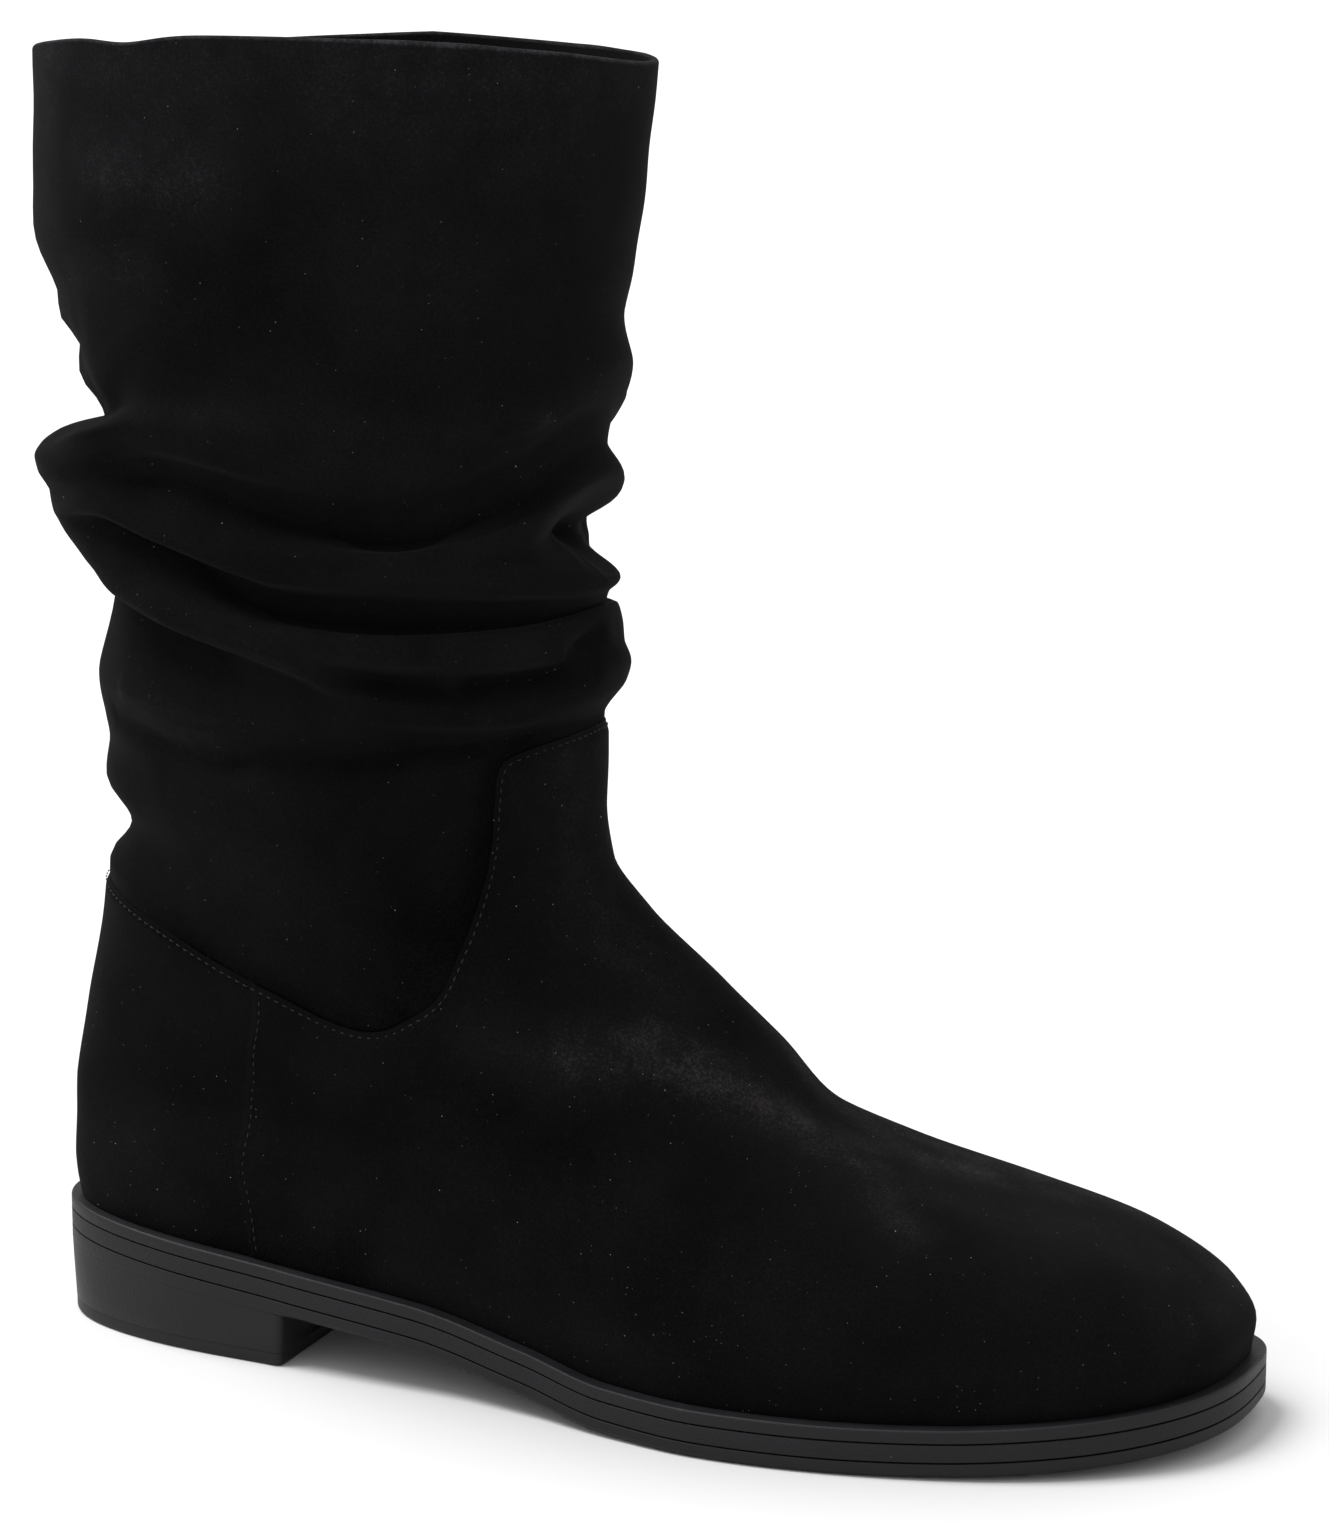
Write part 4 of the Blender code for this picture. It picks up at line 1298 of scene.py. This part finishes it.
@dataclass(frozen=True)
class Band:
    """Side of a sole layer: its height, the radii of its edges, how far it runs in, and its inset."""

    height: float
    top: float
    bottom: float
    reach: float
    steps: int
    inset: float = 0.0

    def profile(self) -> Array:
        """Rows of inset and height, from the top round to the underside.

        It runs inwards on the top, turns down through a quarter circle of the top radius, goes down the
        side, and turns in through a quarter circle of the bottom radius.
        """
        angle = np.linspace(0.0, np.pi / 2, self.steps)
        short, long = 1 - np.sin(angle), 1 - np.cos(angle)
        upper = np.stack([self.top * short, self.height - self.top * long], axis=-1)
        lower = np.stack([self.bottom * long, self.bottom * short], axis=-1)
        rows = np.vstack([[self.reach, self.height], upper, lower, [self.reach, 0.0]])
        return rows + np.array([self.inset, 0.0])


def across_quads(grid: Array, flipped: bool) -> Array:
    """Quads of a cap, from the point numbers of its rungs; flipped turns them over."""
    corners = [grid[:-1, :-1], grid[1:, :-1], grid[1:, 1:], grid[:-1, 1:]]
    quads = np.stack(corners, axis=-1).reshape(-1, 4)
    return quads[:, ::-1] if flipped else quads


def from_ends(count: int, reach: float) -> Array:
    """Numbers that ease from 0 at both ends of a row to 1 at the reach, counted in places."""
    place = np.arange(count)
    return ease(np.minimum(place, place[::-1]) / reach)


@dataclass
class SoleLayers:
    """Rubber sole: outsole, midsole and welt with fine lines between, heel block, heel lift, and the sock."""

    points: int = 320
    across: int = 14
    gap: float = 0.3
    outsole: Band = Band(3.0, 0.16, 1.5, 7.0, 8)
    midsole: Band = Band(3.5, 0.18, 0.18, 7.0, 5)
    welt: Band = Band(2.6, 0.55, 0.18, 7.0, 7)
    sock: Band = Band(2.2, 0.8, 0.2, 4.0, 5, 6.2)
    lift: Band = Band(2.8, 0.05, 0.9, 5.0, 6, 0.62)
    lift_gap: float = 0.04
    block_gap: float = 0.02
    heel_length: float = 61.5
    heel_points: int = 48
    corner: float = 2.0
    corner_points: int = 7
    edge_inset: float = 2.0
    least_rounding: float = 0.04
    rounding_lead: float = 3.0
    rounding_rise: float = 7.0
    rib_pitch: float = 7.0
    rib_depth: float = 0.7
    groove_from: float = 0.62
    groove_slope: float = 0.25
    rib_fade_across: float = 2.0
    rib_fade_along: float = 30.0

    @property
    def block(self) -> Array:
        """Side of the heel block: rows of inset and height, from the top down, in tenths of its height."""
        rows = [[5.0, 10.0], [0.02, 10.0], [0.15, 7.0], [0.4, 3.0], [0.58, 0.05], [0.62, 0.0], [5.0, 0.0]]
        return np.array(rows)

    def layer(self, profile: Array, base: float, under: bool) -> tuple[Array, Array]:
        """Closed layer: its side profile carried round the sole's edge, and a cap of rungs on each face.

        Args:
            profile: rows of inset and height.
            base: height of the layer's underside above the tread.
            under: whether this is the lowest layer, with ribs below and a square bottom edge on the heel.

        Returns:
            Points and quads.
        """
        turn = np.linspace(0.0, 2 * np.pi, self.points, endpoint=False)
        plans = np.stack([FORM.inset_edge(turn, inset) for inset in profile[:, 0]])
        height = np.broadcast_to(profile[:, 1:2], plans.shape[:2])
        if under:
            past_heel = FORM.edge(turn)[:, 0] - self.heel_length + self.rounding_lead
            free = self.least_rounding + (1 - self.least_rounding) * ease(past_heel / self.rounding_rise)
            low_edge = (profile[:, 1] < profile[:, 1].max() / 2) & (profile[:, 0] < self.edge_inset)
            inset = np.where(low_edge[:, None], profile[:, :1] * free, profile[:, :1])
            plans = FORM.inset_edge(np.broadcast_to(turn, inset.shape), inset[..., None])
            height = np.where(low_edge[:, None], height * free, height)
        z = FORM.tread(plans[..., 0]) + base + height
        side = np.concatenate([plans, z[..., None]], axis=-1)
        return self.capped(side, under)

    def capped(self, side: Array, ribs: bool) -> tuple[Array, Array]:
        """Side rows closed with caps whose rungs run straight across, point to point."""
        rows, count = side.shape[:2]
        quads = [ring_quads(rows, count, False)[:, ::-1]]
        points = [side.reshape(-1, 3)]
        total = rows * count
        half = count // 2
        share = np.linspace(0.0, 1.0, self.across + 1)[1:-1][None, :, None]
        for row, flipped in ((0, False), (rows - 1, True)):
            near = np.arange(half + 1)
            far = (count - near) % count
            inner = side[row, near][:, None] * (1 - share) + side[row, far][:, None] * share
            inner = inner[1:-1]
            if flipped and ribs:
                inner = self.ribbed(inner)
            numbers = total + np.arange(inner.shape[0] * inner.shape[1]).reshape(inner.shape[:2])
            points.append(inner.reshape(-1, 3))
            total += numbers.size
            rims = row * count + near[1:-1, None], row * count + far[1:-1, None]
            grid = np.concatenate([rims[0], numbers, rims[1]], axis=1)
            ends = np.repeat(row * count + np.array([[0], [half]]), grid.shape[1], axis=1)
            grid = np.vstack([ends[:1], grid, ends[1:]])
            quads.append(across_quads(grid, not flipped))
        return np.vstack(points), np.vstack(quads)

    def ribbed(self, inner: Array) -> Array:
        """Underside with cross ribs: rounded grooves, one a pitch, cut upwards and faded out at the edges."""
        rungs, places = inner.shape[:2]
        wave = np.sin(np.pi * inner[..., 0] / self.rib_pitch) ** 2
        groove = ease((wave - self.groove_from) / self.groove_slope)
        fade = from_ends(places, self.rib_fade_across)[None, :]
        ends = from_ends(rungs, self.rib_fade_along)[:, None]
        cut = inner.copy()
        cut[..., 2] += self.rib_depth * groove * fade * ends
        return cut

    def heel_plan(self, inset: float) -> Array:
        """Plan of the heel: the sole's edge up to the breast, rounded corners, and a straight breast.

        Each corner is a quadratic curve from the edge through the corner's point to the breast.

        Args:
            inset: how far the plan stands in from the sole's edge.

        Returns:
            Loop of points that starts at the back and goes round the lateral side first.
        """
        breast = self.heel_length - inset
        last = np.arccos(1 - 2 * (breast - self.corner) / FORM.sole_length)
        turn = np.linspace(0.0, last, self.heel_points)
        corner_turn = np.array([np.arccos(1 - 2 * breast / FORM.sole_length)])
        q = np.linspace(0.0, 1.0, self.corner_points + 1)[1:, None]

        def half(side: Side) -> Array:
            """One side's points, from the back round its corner to the breast."""
            lateral = side is Side.LATERAL
            edge = FORM.inset_edge(turn if lateral else 2 * np.pi - turn, inset)
            y = FORM.inset_edge(corner_turn if lateral else 2 * np.pi - corner_turn, inset)[0, 1]
            point, end = np.array([breast, y]), np.array([breast, y - side.value * self.corner])
            return np.vstack([edge, (1 - q) ** 2 * edge[-1] + 2 * q * (1 - q) * point + q**2 * end])

        lateral, medial = half(Side.LATERAL), half(Side.MEDIAL)
        middle = np.array([[breast, (lateral[-1, 1] + medial[-1, 1]) / 2]])
        return np.vstack([lateral, middle, medial[:0:-1]])

    def heel(self, profile: Array, base: float, under_sole: bool) -> tuple[Array, Array]:
        """Heel layer: its profile carried round the heel's plan.

        Args:
            profile: rows of inset and height.
            base: height of the layer's flat underside.
            under_sole: whether its top follows the sole above, the profile's heights being shares of the way.

        Returns:
            Points and quads.
        """
        plans = np.stack([self.heel_plan(inset) for inset in profile[:, 0]])
        z = np.broadcast_to(base + profile[:, 1:2], plans.shape[:2])
        if under_sole:
            top = FORM.tread(plans[..., 0]) - self.block_gap
            share = (profile[:, 1:2] / profile[:, 1].max()).clip(0.0, 1.0)
            z = base + (top - base) * share
        return self.capped(np.concatenate([plans, z[..., None]], axis=-1), False)

    def build(self, finishes: Finishes) -> list[Piece]:
        """Make every layer from the floor up."""
        rubber, made = finishes.rubber, []
        lift = self.heel(self.lift.profile(), 0.0, False)
        made.append(Piece("heel_lift_rubber", *lift, [rubber], Slot.RUBBER, "heel_lift"))
        block = self.heel(self.block, self.lift.height + self.lift_gap, True)
        made.append(Piece("heel_block_rubber", *block, [rubber], Slot.RUBBER, "heel_block"))
        layers = (
            ("outsole_rubber", "outsole", self.outsole, rubber, Slot.RUBBER),
            ("midsole_rubber", "midsole", self.midsole, finishes.grained, Slot.RUBBER),
            ("welt_rubber", "welt", self.welt, rubber, Slot.RUBBER),
            ("insole_sock", "insole", self.sock, finishes.sock, Slot.SOCK),
        )
        height = 0.0
        for name, node, band, finish, slot in layers:
            mesh = self.layer(band.profile(), height, node == "outsole")
            made.append(Piece(name, *mesh, [finish], slot, node))
            height += band.height + self.gap
        return made


@dataclass
class Studio:
    """Plain pale floor, soft studio light and the camera."""

    floor_size: float = 60.0
    floor_tone: float = 0.67
    floor_roughness: float = 0.9
    floor_specular: float = 0.1
    surround: float = 0.84
    light_from: Triple = (-0.66, -0.13, 1.32)
    light_spread: float = 34.0
    light_power: float = 3.4
    focal_pixels: float = 4550.0
    image_height: float = 1524.0
    sensor: float = 36.0
    camera_place: Triple = (0.4343, -0.82203, 0.315)
    camera_tilt: float = 78.0
    camera_turn: float = 22.0
    camera_sight: float = 50.0

    def build(self) -> None:
        """Make the floor, the world, the light and the camera."""
        self.floor()
        self.world()
        self.light()
        self.camera()
        view = bpy.context.scene.view_settings
        view.view_transform = "Standard"
        view.look = "None"

    def floor(self) -> None:
        """White matt floor under the sole."""
        half = self.floor_size / 2
        corners = np.array([[-half, -half, 0.0], [half, -half, 0.0], [half, half, 0.0], [-half, half, 0.0]])
        mesh = bpy.data.meshes.new("floor")
        mesh.from_pydata(corners.tolist(), [], [(0, 1, 2, 3)])
        material, hand, surface = new_material("floor_white")
        hand.fill(surface, Base_Color=(*(self.floor_tone,) * 3, 1.0), Roughness=self.floor_roughness)
        hand.fill(surface, Specular_IOR_Level=self.floor_specular)
        mesh.materials.append(material)
        floor = bpy.data.objects.new("floor", mesh)
        bpy.context.scene.collection.objects.link(floor)

    def world(self) -> None:
        """Even white surround."""
        world = bpy.data.worlds.new("white_surround")
        world.use_nodes = True
        shade = world.node_tree.nodes["Background"]
        Shader(world.node_tree).fill(shade, Color=(1.0, 1.0, 1.0, 1.0), Strength=self.surround)
        bpy.context.scene.world = world

    def light(self) -> None:
        """Distant soft light, turned to shine from its direction and spread over some degrees."""
        data = bpy.data.lights.new("soft_key", "SUN")
        data.angle = np.radians(self.light_spread)
        data.energy = self.light_power
        lamp = bpy.data.objects.new("soft_key", data)
        bpy.context.scene.collection.objects.link(lamp)
        x, y, z = self.light_from
        tilt = np.arccos(z / np.linalg.norm(self.light_from))
        lamp.rotation_euler = (tilt, 0.0, np.arctan2(y, x) + np.pi / 2)

    def camera(self) -> None:
        """Camera at the photograph's angle."""
        data = bpy.data.cameras.new("camera")
        data.sensor_width = self.sensor
        data.lens = self.sensor * self.focal_pixels / self.image_height
        data.clip_end = self.camera_sight
        camera = bpy.data.objects.new("camera", data)
        bpy.context.scene.collection.objects.link(camera)
        camera.location = self.camera_place
        camera.rotation_euler = (np.radians(self.camera_tilt), 0.0, np.radians(self.camera_turn))
        bpy.context.scene.camera = camera


def main() -> None:
    """Build the boot's pieces in order, then the studio."""
    logging.basicConfig(level=logging.INFO, format="%(name)s %(message)s")
    finishes = Finishes()
    for part in (SoleLayers(), Upper(), Shaft()):
        for piece in part.build(finishes):
            piece.build()
    Studio().build()


if __name__ == "__main__":
    main()
